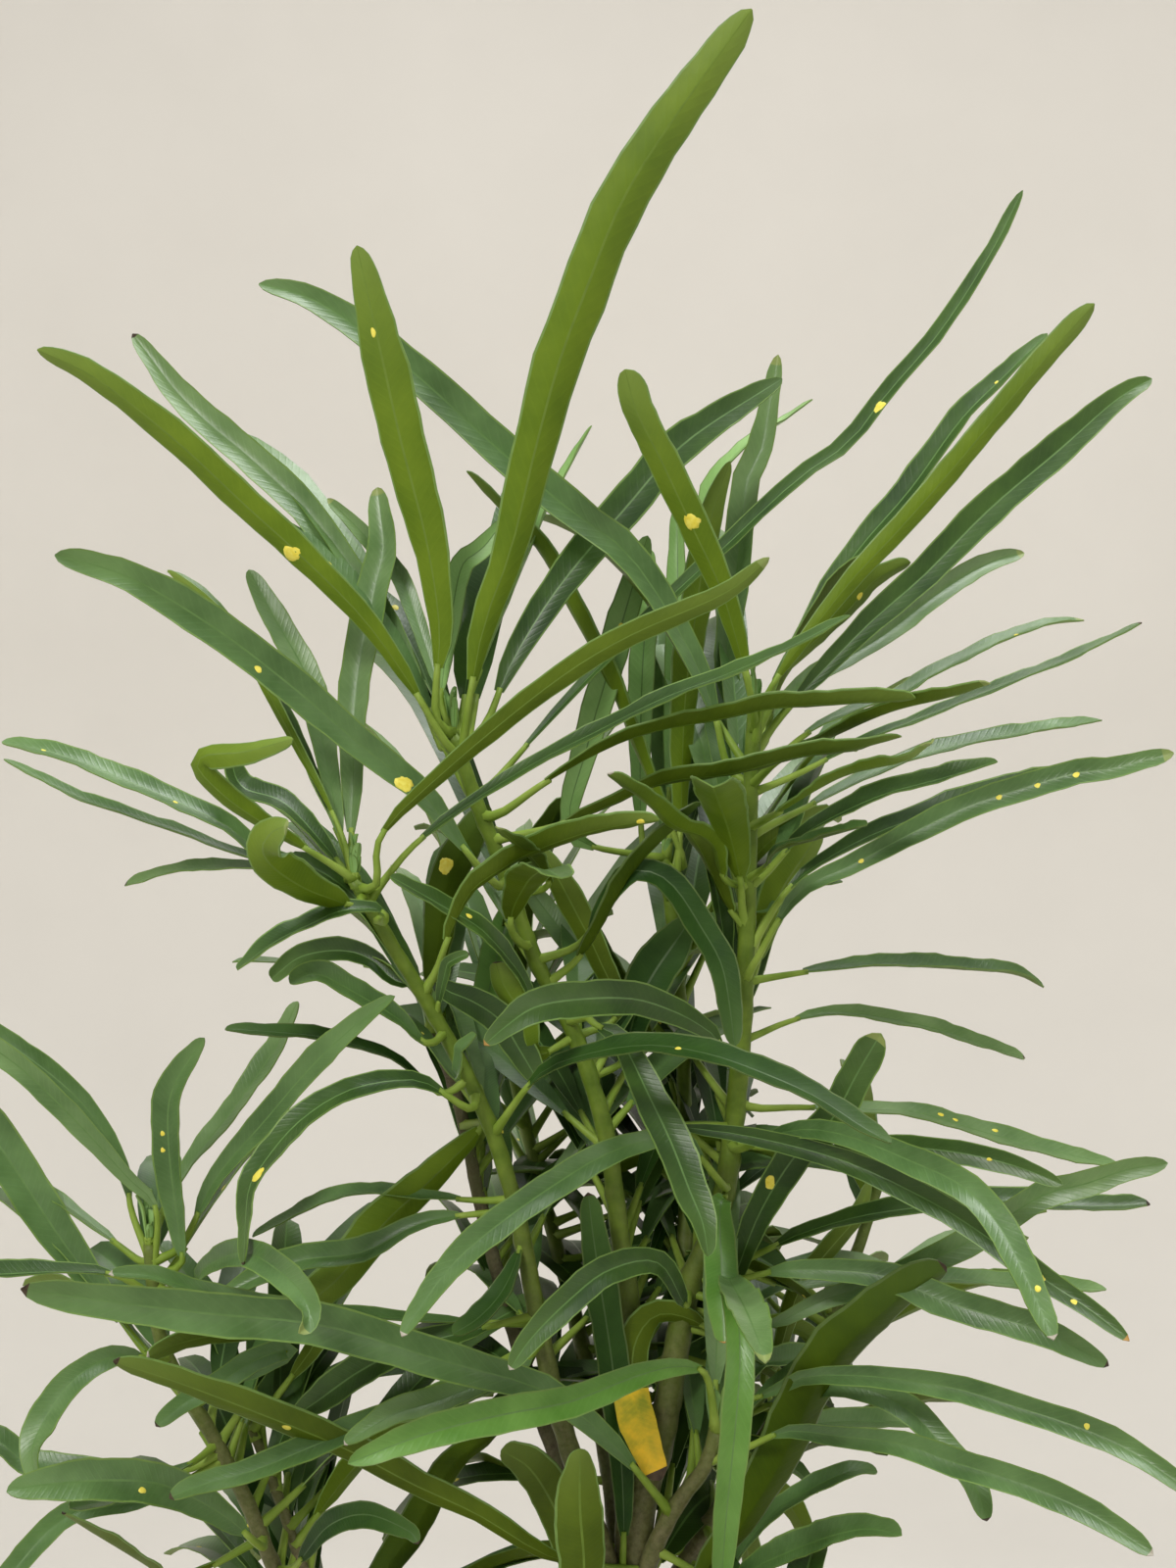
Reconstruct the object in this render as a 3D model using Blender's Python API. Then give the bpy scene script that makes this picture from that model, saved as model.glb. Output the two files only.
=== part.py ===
"""Narrow-leaved croton in a plain clay pot: pot, soil, trunk, boughs and masses of foliage.

Metres, +Z up, front towards -Y. The origin is the middle of the pot's flat underside.
"""

import math

import bmesh
import bpy
import numpy as np
from mathutils import Vector

# Pot: a thrown clay pot with a straight rim band and a flat foot.
POT_HEIGHT = 0.205
POT_FOOT_R = 0.080
POT_NECK_R = 0.109
RIM_R = 0.120
RIM_HEIGHT = 0.034
RIM_EDGE = 0.002
WALL = 0.0065
FLOOR = 0.009
POT_SIDES = 40
DRAIN_R = 0.006
DRAIN_OUT = 0.042
DRAINS = 3

# Soil: fills the pot to a finger's width under the rim.
SOIL_TOP = 0.185
GAP = 0.0003

# Trunk: from a flat cut at soil level, with a root flare, up to the fork.
TRUNK_FLARE_R = 0.0110
TRUNK_FOOT_R = 0.0068
TRUNK_TOP_R = 0.0048
FLARE_HEIGHT = 0.022
TUBE_SIDES = 8
TUBE_STEP = 0.022

# Foliage: clear space between neighbouring masses, and the size of a spray's parts.
MASS_GAP = 0.0004
CORE_R = 0.018
SLIM_CORES = {"foliage_lead": 0.0055, "foliage_right_arch": 0.011, "foliage_fork_arch": 0.011,
              "foliage_front_left": 0.012}
SOCKET_R = 0.014
SOCKET_ANGLE = math.radians(26)
SPRAY_WIDTH = (math.radians(6.0), math.radians(12.0))
SPRAY_THICK = (math.radians(2.6), math.radians(6.5))
SPRAY_RINGS = (0.80, 0.42)
FILL_POINTS = 22
CLOSEST_ANGLE = math.radians(4.5)
GOLDEN = math.radians(137.508)

BARK = ("bark", (0.20, 0.17, 0.10), 0.80)
GREEN_STEM = ("green_stem", (0.13, 0.19, 0.04), 0.60)
LEAF = ("foliage", (0.07, 0.20, 0.07), 0.50)
CLAY = ("clay", (0.52, 0.24, 0.14), 0.85)
SOIL = ("soil", (0.06, 0.04, 0.03), 0.95)

# Where each limb runs, in millimetres, from its growing tip down to its foot.
TRUNK_PATH = ((5.0, 0, 362.5), (5.0, 0, 322), (3.5, 0, 285), (1.5, 0, 247), (0.4, 0, 210), (0, 0, 185.3))
# name: (tip radius, foot radius, limbs it springs from, whether a mass tops it, path)
BOUGHS = {
    "bough_right": (2.2, 4.3, (), True, (
        (38, 5, 590), (36.6, 5, 565), (35.8, 5, 532), (34, 5, 500), (31.5, 4, 477), (28, 3, 460),
        (21, 2, 444), (17, 1, 425), (13.5, 0, 405), (8.5, 0, 388), (5, 0, 363))),
    "bough_centre": (2.0, 3.3, ("bough_right",), True, (
        (-39, -5, 583), (-34, -5, 570), (-27, -3, 552), (-18.5, -1, 528), (-10, 0, 512), (-4, 0, 496),
        (0.2, 0, 480), (3, 0, 458), (6, 1, 435), (5, 1, 400), (5, 0, 363))),
    "bough_left": (1.9, 3.2, ("bough_right", "bough_centre"), True, (
        (-61, -25, 547), (-55, -23, 536), (-43.7, -20, 517), (-34, -17, 498), (-28, -15, 484),
        (-23, -12, 466), (-18.5, -9, 443), (-13, -7, 416), (-5, -5, 390), (5, 0, 357))),
    "bough_left_back": (1.7, 2.8, ("bough_right", "bough_centre", "bough_left"), False, (
        (-46, 10, 508), (-41, 13, 497), (-36.5, 13, 480), (-33, 12, 463), (-27, 10, 440),
        (-18, 8, 412), (-9, 6, 388), (4, 0, 352))),
    "bough_low_left": (1.8, 3.8, (), True, (
        (-113, -20, 457), (-111, -20, 438), (-105, -20, 424), (-98, -19, 412), (-90, -18, 396),
        (-83, -16, 378), (-71, -13, 347), (-54, -9, 312), (-35, -6, 278), (-15, -3, 247), (1, 0, 226))),
    "bough_low_left_twin": (1.4, 2.2, ("bough_low_left",), False, (
        (-90, -4, 409), (-84, -5, 394), (-78, -7, 378), (-68, -9, 350), (-57, -9, 317))),
    "bough_back_pale": (1.9, 2.7, ("bough_right",), True, (
        (16, 40, 550), (19, 38, 524), (20.4, 35, 505), (21, 30, 482), (21, 24, 456),
        (18.5, 14, 432), (13.5, 1, 402))),
    "bough_fork": (2.0, 3.2, ("bough_right", "bough_centre", "bough_left"), True, (
        (27, -13, 409), (24, -11, 401), (18, -8, 392), (11, -4, 377), (5, 0, 354))),
    "bough_back_left": (1.8, 3.0, ("bough_right", "bough_centre", "bough_left_back"), True, (
        (-31, 74, 514), (-27, 70, 494), (-19, 58, 463), (-8, 38, 426), (1, 17, 390), (5, 0, 350))),
    "bough_back_right": (1.8, 3.0, ("bough_right", "bough_back_left"), True, (
        (80, 78, 461), (72, 69, 441), (58, 54, 414), (35, 31, 386), (16, 12, 362), (5, 0, 340))),
    "bough_front_right": (1.8, 3.0, (), True, (
        (49, -68, 382), (45, -60, 364), (36, -44, 336), (21, -22, 303), (3.5, 0, 272))),
}

# name: (centre mm, bough it tops or None, sprays dealt by rule, their rise in degrees, their reach mm,
#        sprays of known bearing: (bearing from +X, rise, reach mm))
MASSES = {
    "foliage_low_left_top": ((-113, -20, 457), "bough_low_left", 6, 35, 62, (
        (170, 47, 84), (163, 33, 83), (-170, 47, 83), (155, 17, 75), (-102, 5, 72), (-163, -7, 68),
        (-54, 6, 49), (60, 55, 66))),
    "foliage_low_left_middle": ((-103, -20, 420), None, 6, 5, 58, (
        (171, -6, 65), (-123, -7, 60), (-147, -39, 71), (-52, 20, 57), (100, 5, 62))),
    "foliage_low_left_foot": ((-86, -17, 384), None, 7, -5, 58, ((-46, 13, 62), (150, -22, 62))),
    "foliage_left_top": ((-61, -25, 547), "bough_left", 7, 45, 62, (
        (155, 16, 113), (-168, 47, 108), (171, 21, 100), (149, -1, 77), (157, 42, 60), (127, -30, 50),
        (-105, 19, 49), (-118, 51, 44), (-137, -26, 41))),
    "foliage_left_middle": ((-44, -20, 517), None, 6, 0, 58, ((151, 0, 55), (-140, 0, 50))),
    "foliage_left_low": ((-29, -15, 486), None, 7, -5, 62, ((160, -20, 70), (-120, -8, 70))),
    "foliage_left_foot": ((-20, -10, 446), None, 6, -8, 62, ((-170, 0, 75), (110, 0, 60), (-127, -6, 55))),
    "foliage_front_left": ((-52, -52, 440), None, 0, 0, 60, (
        (-154, 16, 85), (-94, -12, 50), (-175, 2, 62), (53, 6, 50), (-80, 12, 36), (130, 10, 34))),
    "foliage_lead": ((-6, -27, 682), None, 0, 0, 80, (
        (-18, 61, 87), (146, -68, 70))),
    "foliage_centre_top": ((-39, -5, 583), "bough_centre", 6, 55, 80, (
        (158, 49, 145), (-157, 42, 140), (174, 67, 128), (-131, 75, 125), (165, 30, 91), (84, 71, 77),
        (136, 67, 73), (-34, 68, 104))),
    "foliage_centre_upper": ((-22, -2, 541), None, 7, 15, 55, ((72, 15, 50),)),
    "foliage_centre_middle": ((-6, 0, 502), None, 7, 5, 60, ()),
    "foliage_centre_low": ((2, 0, 458), None, 7, -5, 60, ((-68, 0, 54),)),
    "foliage_right_top": ((38, 5, 590), "bough_right", 6, 45, 90, (
        (35, 57, 176), (13, 39, 144), (-10, 50, 134), (78, 63, 114), (24, 1, 107), (35, 26, 106),
        (8, 14, 105), (-134, 59, 97), (112, 50, 90), (-47, 5, 76), (-61, -5, 75), (-90, 30, 71))),
    "foliage_right_upper": ((37, 5, 551), None, 6, 5, 75, ((-19, 12, 106), (0, 14, 100), (-71, 10, 70))),
    "foliage_right_middle": ((35, 5, 512), None, 6, 5, 75, ((17, 3, 86), (-72, -12, 91), (-99, 1, 66))),
    "foliage_right_low": ((31, 4, 474), None, 6, 0, 72, ((-13, 4, 112), (9, -1, 106), (-39, -20, 60))),
    "foliage_right_arch": ((78, -34, 452), None, 0, 0, 60, (
        (-42, -6, 54), (-72, 0, 58), (-10, -22, 44), (24, 17, 55), (141, 20, 55), (-100, 20, 34))),
    "foliage_right_foot": ((18, 1, 427), None, 6, -5, 70, ((20, 5, 90),)),
    "foliage_fork_arch": ((88, -36, 408), None, 0, 0, 60, (
        (-40, 2, 66), (-62, -8, 50), (-20, -18, 46), (159, 1, 60), (60, 8, 34))),
    "foliage_back_pale_top": ((16, 40, 550), "bough_back_pale", 6, 45, 70, ((95, 60, 100),)),
    "foliage_back_pale_low": ((21, 34, 502), None, 6, 5, 66, ()),
    "foliage_fork_top": ((27, -13, 409), "bough_fork", 6, 20, 55, ((-88, 45, 45), (-60, -20, 60), (-21, -1, 60))),
    "foliage_fork": ((0, -3, 386), None, 7, -5, 60, ((-97, 30, 45),)),
    "foliage_back_left_top": ((-31, 74, 514), "bough_back_left", 9, 40, 84, ((100, 68, 95),)),
    "foliage_back_left_low": ((-15, 52, 450), None, 8, 0, 84, ()),
    "foliage_back_right_top": ((80, 78, 461), "bough_back_right", 9, 35, 78, ((60, 62, 88),)),
    "foliage_back_right_low": ((58, 54, 414), None, 8, -5, 74, ()),
    "foliage_front_right_top": ((49, -68, 382), "bough_front_right", 8, 25, 60, ((-70, 50, 62),)),
}


def clear_scene():
    for obj in list(bpy.data.objects):
        bpy.data.objects.remove(obj, do_unlink=True)


def material(look):
    name, colour, roughness = look
    mat = bpy.data.materials.get(name) or bpy.data.materials.new(name)
    mat.use_nodes = True
    shader = mat.node_tree.nodes["Principled BSDF"]
    shader.inputs["Base Color"].default_value = (*colour, 1)
    shader.inputs["Roughness"].default_value = roughness
    shader.inputs["Metallic"].default_value = 0
    return mat


def new_object(name, points, faces, look, smooth=False):
    mesh = bpy.data.meshes.new(name)
    mesh.from_pydata([tuple(p) for p in points], [], [tuple(f) for f in faces])
    work = bmesh.new()
    work.from_mesh(mesh)
    bmesh.ops.recalc_face_normals(work, faces=work.faces)
    if work.calc_volume(signed=True) < 0:
        bmesh.ops.reverse_faces(work, faces=work.faces)
    for face in work.faces:
        face.smooth = smooth
    work.to_mesh(mesh)
    work.free()
    mesh.materials.append(material(look))
    obj = bpy.data.objects.new(name, mesh)
    bpy.context.scene.collection.objects.link(obj)
    return obj


def make_cutter(obj):
    obj.hide_render = True
    obj.display_type = "WIRE"
    return obj


def bounds(obj):
    points = np.array([v.co for v in obj.data.vertices])
    return points.min(axis=0), points.max(axis=0)


def near(a, b):
    (a0, a1), (b0, b1) = bounds(a), bounds(b)
    return bool((a0 <= b1).all() and (b0 <= a1).all())


def keep_largest(work):
    """Drops the crumbs that a cut leaves beside the main piece."""
    left = set(work.faces)
    pieces = []
    while left:
        piece = set()
        edge_of_piece = [left.pop()]
        while edge_of_piece:
            face = edge_of_piece.pop()
            piece.add(face)
            for edge in face.edges:
                for other in edge.link_faces:
                    if other in left:
                        left.discard(other)
                        edge_of_piece.append(other)
        pieces.append(piece)
    if len(pieces) > 1:
        main = max(pieces, key=lambda piece: sum(f.calc_area() for f in piece))
        crumbs = [f for piece in pieces if piece is not main for f in piece]
        bmesh.ops.delete(work, geom=crumbs, context="FACES")


def carve(obj, cutters):
    """Cuts the inflated neighbours out of a solid, and tidies the mesh that is left."""
    cutters = [cutter for cutter in cutters if near(obj, cutter)]
    if not cutters:
        return
    for cutter in cutters:
        cut = obj.modifiers.new("cut", "BOOLEAN")
        cut.operation = "DIFFERENCE"
        cut.solver = "EXACT"
        cut.object = cutter
    bpy.context.view_layer.update()
    graph = bpy.context.evaluated_depsgraph_get()
    mesh = bpy.data.meshes.new_from_object(obj.evaluated_get(graph))
    obj.modifiers.clear()
    work = bmesh.new()
    work.from_mesh(mesh)
    keep_largest(work)
    bmesh.ops.remove_doubles(work, verts=work.verts, dist=0.00002)
    bmesh.ops.triangulate(work, faces=work.faces)
    work.to_mesh(mesh)
    work.free()
    obj.data = mesh


def smooth_path(points, step):
    """A curve through the points, resampled at about equal steps."""
    points = [np.array(p, float) for p in points]
    ends = [2 * points[0] - points[1], *points, 2 * points[-1] - points[-2]]
    dense = []
    for i in range(1, len(ends) - 2):
        p0, p1, p2, p3 = ends[i - 1 : i + 3]
        for t in np.linspace(0, 1, 12, endpoint=False):
            dense.append(0.5 * (2 * p1 + (p2 - p0) * t + (2 * p0 - 5 * p1 + 4 * p2 - p3) * t**2
                                + (3 * p1 - p0 - 3 * p2 + p3) * t**3))
    dense.append(points[-1])
    dense = np.array(dense)
    run = np.concatenate([[0], np.cumsum(np.linalg.norm(np.diff(dense, axis=0), axis=1))])
    count = max(2, round(run[-1] / step))
    at = np.linspace(0, run[-1], count + 1)
    return np.array([np.interp(at, run, dense[:, k]) for k in range(3)]).T


def tube(name, path, radii, look, grow=0.0):
    """A round limb along the path. grow makes it fatter and longer, for a clearance cutter."""
    path = np.array(path, float)
    steps = np.gradient(path, axis=0)
    steps /= np.linalg.norm(steps, axis=1)[:, None]
    path[0] -= steps[0] * grow
    path[-1] += steps[-1] * grow
    side = np.cross(steps[0], (0, 1, 0))
    points = []
    for centre, along, radius in zip(path, steps, radii):
        side = side - along * side.dot(along)
        side /= np.linalg.norm(side)
        across = np.cross(along, side)
        for k in range(TUBE_SIDES):
            turn = 2 * math.pi * k / TUBE_SIDES
            offset = math.cos(turn) * side + math.sin(turn) * across
            points.append(centre + (radius + grow) * offset)
    faces = []
    for ring in range(len(path) - 1):
        for k in range(TUBE_SIDES):
            a = ring * TUBE_SIDES + k
            b = ring * TUBE_SIDES + (k + 1) % TUBE_SIDES
            faces.append((a, b, b + TUBE_SIDES, a + TUBE_SIDES))
    faces.append(tuple(range(TUBE_SIDES)))
    faces.append(tuple(range(len(points) - TUBE_SIDES, len(points))))
    return new_object(name, points, faces, look, smooth=True)


def limb_and_cutter(name, path, radii, look):
    limb = tube(name, path, radii, look)
    cutter = make_cutter(tube(name + "_clearance", path, radii, look, grow=1.25 * GAP))
    return limb, cutter


def make_trunk():
    path = smooth_path([(x / 1000, y / 1000, z / 1000) for x, y, z in TRUNK_PATH], 0.014)
    radii = []
    top, foot = path[0][2], path[-1][2]
    for point in path:
        share = (point[2] - foot) / (top - foot)
        flare = math.exp(-3.0 * (point[2] - foot) / FLARE_HEIGHT)
        radii.append(TRUNK_FOOT_R + (TRUNK_TOP_R - TRUNK_FOOT_R) * share
                     + (TRUNK_FLARE_R - TRUNK_FOOT_R) * flare)
    path[-1][:2] = path[-2][:2]
    limb, cutter = limb_and_cutter("trunk", path, radii, BARK)
    for vertex in limb.data.vertices:
        if vertex.co.z < foot + 0.002:
            vertex.co.z = foot
    return limb, cutter


def make_bough(name, tip_r, foot_r, topped, path):
    line = smooth_path([(x / 1000, y / 1000, z / 1000) for x, y, z in path], TUBE_STEP)
    if topped:
        along = line[0] - line[1]
        length = np.linalg.norm(along)
        line[0] = line[0] - along / length * (SOCKET_R + GAP)
    share = np.linspace(0, 1, len(line))
    radii = (tip_r + (foot_r - tip_r) * share) / 1000
    look = BARK if name == "bough_left_back" else GREEN_STEM
    return limb_and_cutter(name, line, radii, look)


def direction(bearing, rise):
    b, r = math.radians(bearing), math.radians(rise)
    return np.array((math.cos(r) * math.cos(b), math.cos(r) * math.sin(b), math.sin(r)))


def angle(a, b):
    return math.acos(max(-1.0, min(1.0, float(np.dot(a, b)))))


def offset(axis, side, up, around, lift):
    """A direction turned away from the axis, by one angle to the side and one upwards."""
    turned = axis + math.tan(around) * side + math.tan(lift) * up
    return turned / np.linalg.norm(turned)


def spray_points(axis, reach):
    """Directions and radii that draw one spray as a flat, pointed lobe."""
    side = np.cross((0, 0, 1), axis)
    if np.linalg.norm(side) < 0.1:
        side = np.array((1.0, 0, 0))
    side /= np.linalg.norm(side)
    up = np.cross(axis, side)
    found = [(axis, reach)]
    shape = ((SPRAY_RINGS[0], SPRAY_WIDTH[0], SPRAY_THICK[0]), (SPRAY_RINGS[1], SPRAY_WIDTH[1], SPRAY_THICK[1]))
    slim = min(1.0, 0.085 / reach)
    for share, wide, thick in shape:
        for around, lift in ((-wide, 0), (0, thick), (wide, 0), (0, -thick)):
            found.append((offset(axis, side, up, around * slim, lift * slim), reach * share))
    return found


def room(centre, others, way):
    """How far from the centre a surface may go before it enters a neighbour's space."""
    best = 1.0
    for other in others:
        apart = other - centre
        half = np.linalg.norm(apart) / 2
        facing = float(np.dot(way, apart)) / (2 * half)
        if facing > 1e-6:
            best = min(best, (half - MASS_GAP / 2) / facing)
    return best


def make_mass(name, index, centre, down, dealt, rise, reach, known, others):
    """A closed star of sprays about one point, each clipped where the next mass begins."""
    rng = np.random.default_rng(100 + index)
    sprays = [(direction(b, r), length / 1000) for b, r, length in known]
    for k in range(dealt):
        bearing = math.degrees(k * GOLDEN) + 40 * index
        way = direction(bearing, rise + rng.uniform(-16, 16))
        length = reach / 1000 * rng.uniform(0.82, 1.08)
        if all(angle(way, other) > math.radians(30) for other, _ in sprays):
            sprays.append((way, length))
    ways = []
    if down is not None:
        side = np.cross(down, (0, 1, 0))
        side /= np.linalg.norm(side)
        up = np.cross(down, side)
        ways.append((down, SOCKET_R))
        for k in range(6):
            turn = 2 * math.pi * k / 6
            around = math.cos(turn) * side + math.sin(turn) * up
            way = math.cos(SOCKET_ANGLE) * down + math.sin(SOCKET_ANGLE) * around
            ways.append((way, SOCKET_R / math.cos(SOCKET_ANGLE)))
    for axis, length in sprays:
        if down is not None and angle(axis, down) < SOCKET_ANGLE + 2 * SPRAY_WIDTH[1]:
            continue
        for way, radius in spray_points(axis, length):
            if all(angle(way, other) > CLOSEST_ANGLE * 0.5 for other, _ in ways):
                ways.append((way, radius))
    for k in range(FILL_POINTS):
        z = 1 - 2 * (k + 0.5) / FILL_POINTS
        turn = k * GOLDEN + index
        way = np.array((math.sqrt(1 - z * z) * math.cos(turn), math.sqrt(1 - z * z) * math.sin(turn), z))
        radius = SLIM_CORES.get(name, CORE_R) * rng.uniform(0.85, 1.25)
        if all(angle(way, other) > math.radians(17) for other, _ in ways):
            ways.append((way, radius))
    work = bmesh.new()
    verts = [work.verts.new(Vector(way)) for way, _ in ways]
    bmesh.ops.convex_hull(work, input=verts, use_existing_faces=False)
    bmesh.ops.delete(work, geom=[v for v in work.verts if not v.link_faces], context="VERTS")
    place = {tuple(round(c, 6) for c in Vector(way)): (way, radius) for way, radius in ways}
    for vert in work.verts:
        way, radius = place[tuple(round(c, 6) for c in vert.co)]
        vert.co = Vector(centre + way * min(radius, room(centre, others, way)))
    work.verts.index_update()
    points = [v.co.copy() for v in work.verts]
    faces = [[v.index for v in f.verts] for f in work.faces]
    work.free()
    return new_object(name, points, faces, LEAF)


def revolve(name, profile, look):
    """Turns a closed outline of (radius, height) about the Z axis."""
    points, faces = [], []
    rows = []
    for radius, height in profile:
        if radius < 1e-6:
            rows.append([len(points)])
            points.append((0, 0, height))
            continue
        rows.append(list(range(len(points), len(points) + POT_SIDES)))
        for k in range(POT_SIDES):
            turn = 2 * math.pi * k / POT_SIDES
            points.append((radius * math.cos(turn), radius * math.sin(turn), height))
    for low, high in zip(rows, rows[1:]):
        for k in range(POT_SIDES):
            n = (k + 1) % POT_SIDES
            if len(low) == 1:
                faces.append((low[0], high[n], high[k]))
            elif len(high) == 1:
                faces.append((low[k], low[n], high[0]))
            else:
                faces.append((low[k], low[n], high[n], high[k]))
    return new_object(name, points, faces, look)


def wall_r(height):
    """Outer radius of the pot's tapering wall."""
    share = height / (POT_HEIGHT - RIM_HEIGHT)
    return POT_FOOT_R + (POT_NECK_R - POT_FOOT_R) * share


def make_pot():
    shoulder = POT_HEIGHT - RIM_HEIGHT
    rim_foot_r = RIM_R - 0.004
    inner_top = RIM_R - 0.0095
    profile = (
        (0, 0), (POT_FOOT_R - 0.002, 0), (wall_r(0.002), 0.002), (wall_r(shoulder), shoulder),
        (rim_foot_r, shoulder), (rim_foot_r + 0.001, shoulder + 0.001), (RIM_R, POT_HEIGHT - RIM_EDGE),
        (RIM_R - RIM_EDGE, POT_HEIGHT), (inner_top, POT_HEIGHT), (wall_r(shoulder) - WALL, shoulder),
        (wall_r(FLOOR) - WALL, FLOOR), (0, FLOOR))
    pot = revolve("pot", profile, CLAY)
    drains = []
    for k in range(DRAINS):
        turn = 2 * math.pi * (k + 0.5) / DRAINS
        bpy.ops.mesh.primitive_cylinder_add(
            vertices=16, radius=DRAIN_R, depth=0.05,
            location=(DRAIN_OUT * math.cos(turn), DRAIN_OUT * math.sin(turn), 0))
        drains.append(make_cutter(bpy.context.object))
        drains[-1].name = f"drain_cutter_{k}"
        for vertex in drains[-1].data.vertices:
            vertex.co += drains[-1].location
        drains[-1].location = (0, 0, 0)
    carve(pot, drains)


def make_soil():
    shoulder = POT_HEIGHT - RIM_HEIGHT
    inner_top = RIM_R - 0.0095
    slope = (inner_top - (wall_r(shoulder) - WALL)) / RIM_HEIGHT
    top_r = wall_r(shoulder) - WALL + slope * (SOIL_TOP - shoulder) - 1.5 * GAP
    profile = (
        (0, FLOOR + GAP), (wall_r(FLOOR) - WALL - 2 * GAP, FLOOR + GAP),
        (wall_r(shoulder) - WALL - 1.5 * GAP, shoulder), (top_r, SOIL_TOP), (0, SOIL_TOP))
    return revolve("soil", profile, SOIL)


clear_scene()
make_pot()
make_soil()
trunk, trunk_clearance = make_trunk()
clearances = {"trunk": trunk_clearance}
ends = {}
for limb_name, (tip_r, foot_r, parents, topped, path) in BOUGHS.items():
    limb, clearances[limb_name] = make_bough(limb_name, tip_r, foot_r, topped, path)
    carve(limb, [trunk_clearance] + [clearances[parent] for parent in parents])
    tip = np.array(path[0], float) / 1000
    below = smooth_path(np.array(path, float) / 1000, TUBE_STEP)[1]
    ends[limb_name] = (below - tip) / np.linalg.norm(below - tip)
centres = {name: np.array(entry[0], float) / 1000 for name, entry in MASSES.items()}
for number, (mass_name, entry) in enumerate(MASSES.items()):
    centre_mm, tops, dealt, rise, reach, known = entry
    others = [centres[name] for name in MASSES if name != mass_name]
    mass = make_mass(mass_name, number, centres[mass_name], ends.get(tops), dealt, rise, reach, known, others)
    carve(mass, [cutter for name, cutter in clearances.items() if name != tops])
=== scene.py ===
"""Narrow-leaved croton in a clay pot: the looks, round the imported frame."""

import functools
import math

import bmesh
import bpy
import numpy as np
from mathutils import Matrix, Vector


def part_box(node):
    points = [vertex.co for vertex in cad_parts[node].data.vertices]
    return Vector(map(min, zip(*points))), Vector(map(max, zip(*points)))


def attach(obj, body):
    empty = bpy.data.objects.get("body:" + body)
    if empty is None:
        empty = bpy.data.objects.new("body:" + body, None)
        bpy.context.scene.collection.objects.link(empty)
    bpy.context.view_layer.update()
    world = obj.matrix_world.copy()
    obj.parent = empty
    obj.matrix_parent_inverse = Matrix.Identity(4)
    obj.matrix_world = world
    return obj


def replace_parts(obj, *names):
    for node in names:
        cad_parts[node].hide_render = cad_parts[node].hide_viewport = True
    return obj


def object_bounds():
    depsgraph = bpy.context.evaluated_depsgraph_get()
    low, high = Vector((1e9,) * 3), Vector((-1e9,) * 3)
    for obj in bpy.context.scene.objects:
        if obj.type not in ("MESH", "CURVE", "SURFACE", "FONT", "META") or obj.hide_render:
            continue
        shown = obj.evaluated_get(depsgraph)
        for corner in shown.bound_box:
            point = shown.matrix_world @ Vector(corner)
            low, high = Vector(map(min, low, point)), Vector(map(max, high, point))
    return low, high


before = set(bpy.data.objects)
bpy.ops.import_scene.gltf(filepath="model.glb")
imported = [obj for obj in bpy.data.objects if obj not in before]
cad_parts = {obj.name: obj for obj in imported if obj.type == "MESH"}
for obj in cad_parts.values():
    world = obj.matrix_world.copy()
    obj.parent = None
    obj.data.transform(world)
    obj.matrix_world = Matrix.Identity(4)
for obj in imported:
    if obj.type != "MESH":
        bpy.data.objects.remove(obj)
cad_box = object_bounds()

# --- The stage -------------------------------------------------------------------------------
# A round room of pale plaster, open above, its floor swept up into its wall, with soft lamps and
# the camera level with the crown. None of it belongs to the plant.
EYE = Vector((-0.005, -0.60, 0.5725))
ROOM_R, ROOM_H, COVE_R = 1.9, 2.6, 0.7
ROOM_SIDES, COVE_STEPS = 96, 13
LENS_MM, SENSOR_MM = 36.0, 24.0
# name: place, aim, size in metres, watts, colour
LAMPS = {
    "lamp_front": ((-0.7, -1.2, 1.7), (0, 0, 0.5), 0.45, 17, (1.0, 0.98, 0.95)),
    "lamp_above": ((0.3, 0.1, 1.9), (0, 0, 0.4), 0.6, 12, (0.98, 1.0, 1.0)),
    "lamp_right": ((1.3, -0.8, 0.9), (0, 0, 0.5), 0.9, 2, (1.0, 0.97, 0.93)),
    "lamp_wall": ((0.1, 0.7, 1.7), (0, 1.7, 0.1), 0.7, 5.4, (1.0, 0.985, 0.96)),
}
SKY_COLOUR, SKY_STRENGTH = (0.97, 0.985, 1.0), 0.42


def feed(tree, slot, value):
    """Links a wire to a node's socket, or sets the socket to a plain value."""
    if isinstance(value, Wire):
        tree.links.new(value.socket, slot)
    else:
        slot.default_value = value


class Wire:
    """A shader socket whose sums and products become Math nodes."""

    def __init__(self, tree, socket):
        self.tree = tree
        self.socket = socket

    def maths(self, operation, first, second):
        node = self.tree.nodes.new("ShaderNodeMath")
        node.operation = operation
        for slot, value in zip(node.inputs, (first, second)):
            feed(self.tree, slot, value)
        return Wire(self.tree, node.outputs[0])

    def __add__(self, other):
        return self.maths("ADD", self, other)

    def __sub__(self, other):
        return self.maths("SUBTRACT", self, other)

    def __mul__(self, other):
        return self.maths("MULTIPLY", self, other)

    def __rsub__(self, other):
        return self.maths("SUBTRACT", other, self)

    def __pow__(self, other):
        return self.maths("POWER", self, other)

    __radd__ = __add__
    __rmul__ = __mul__


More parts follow.
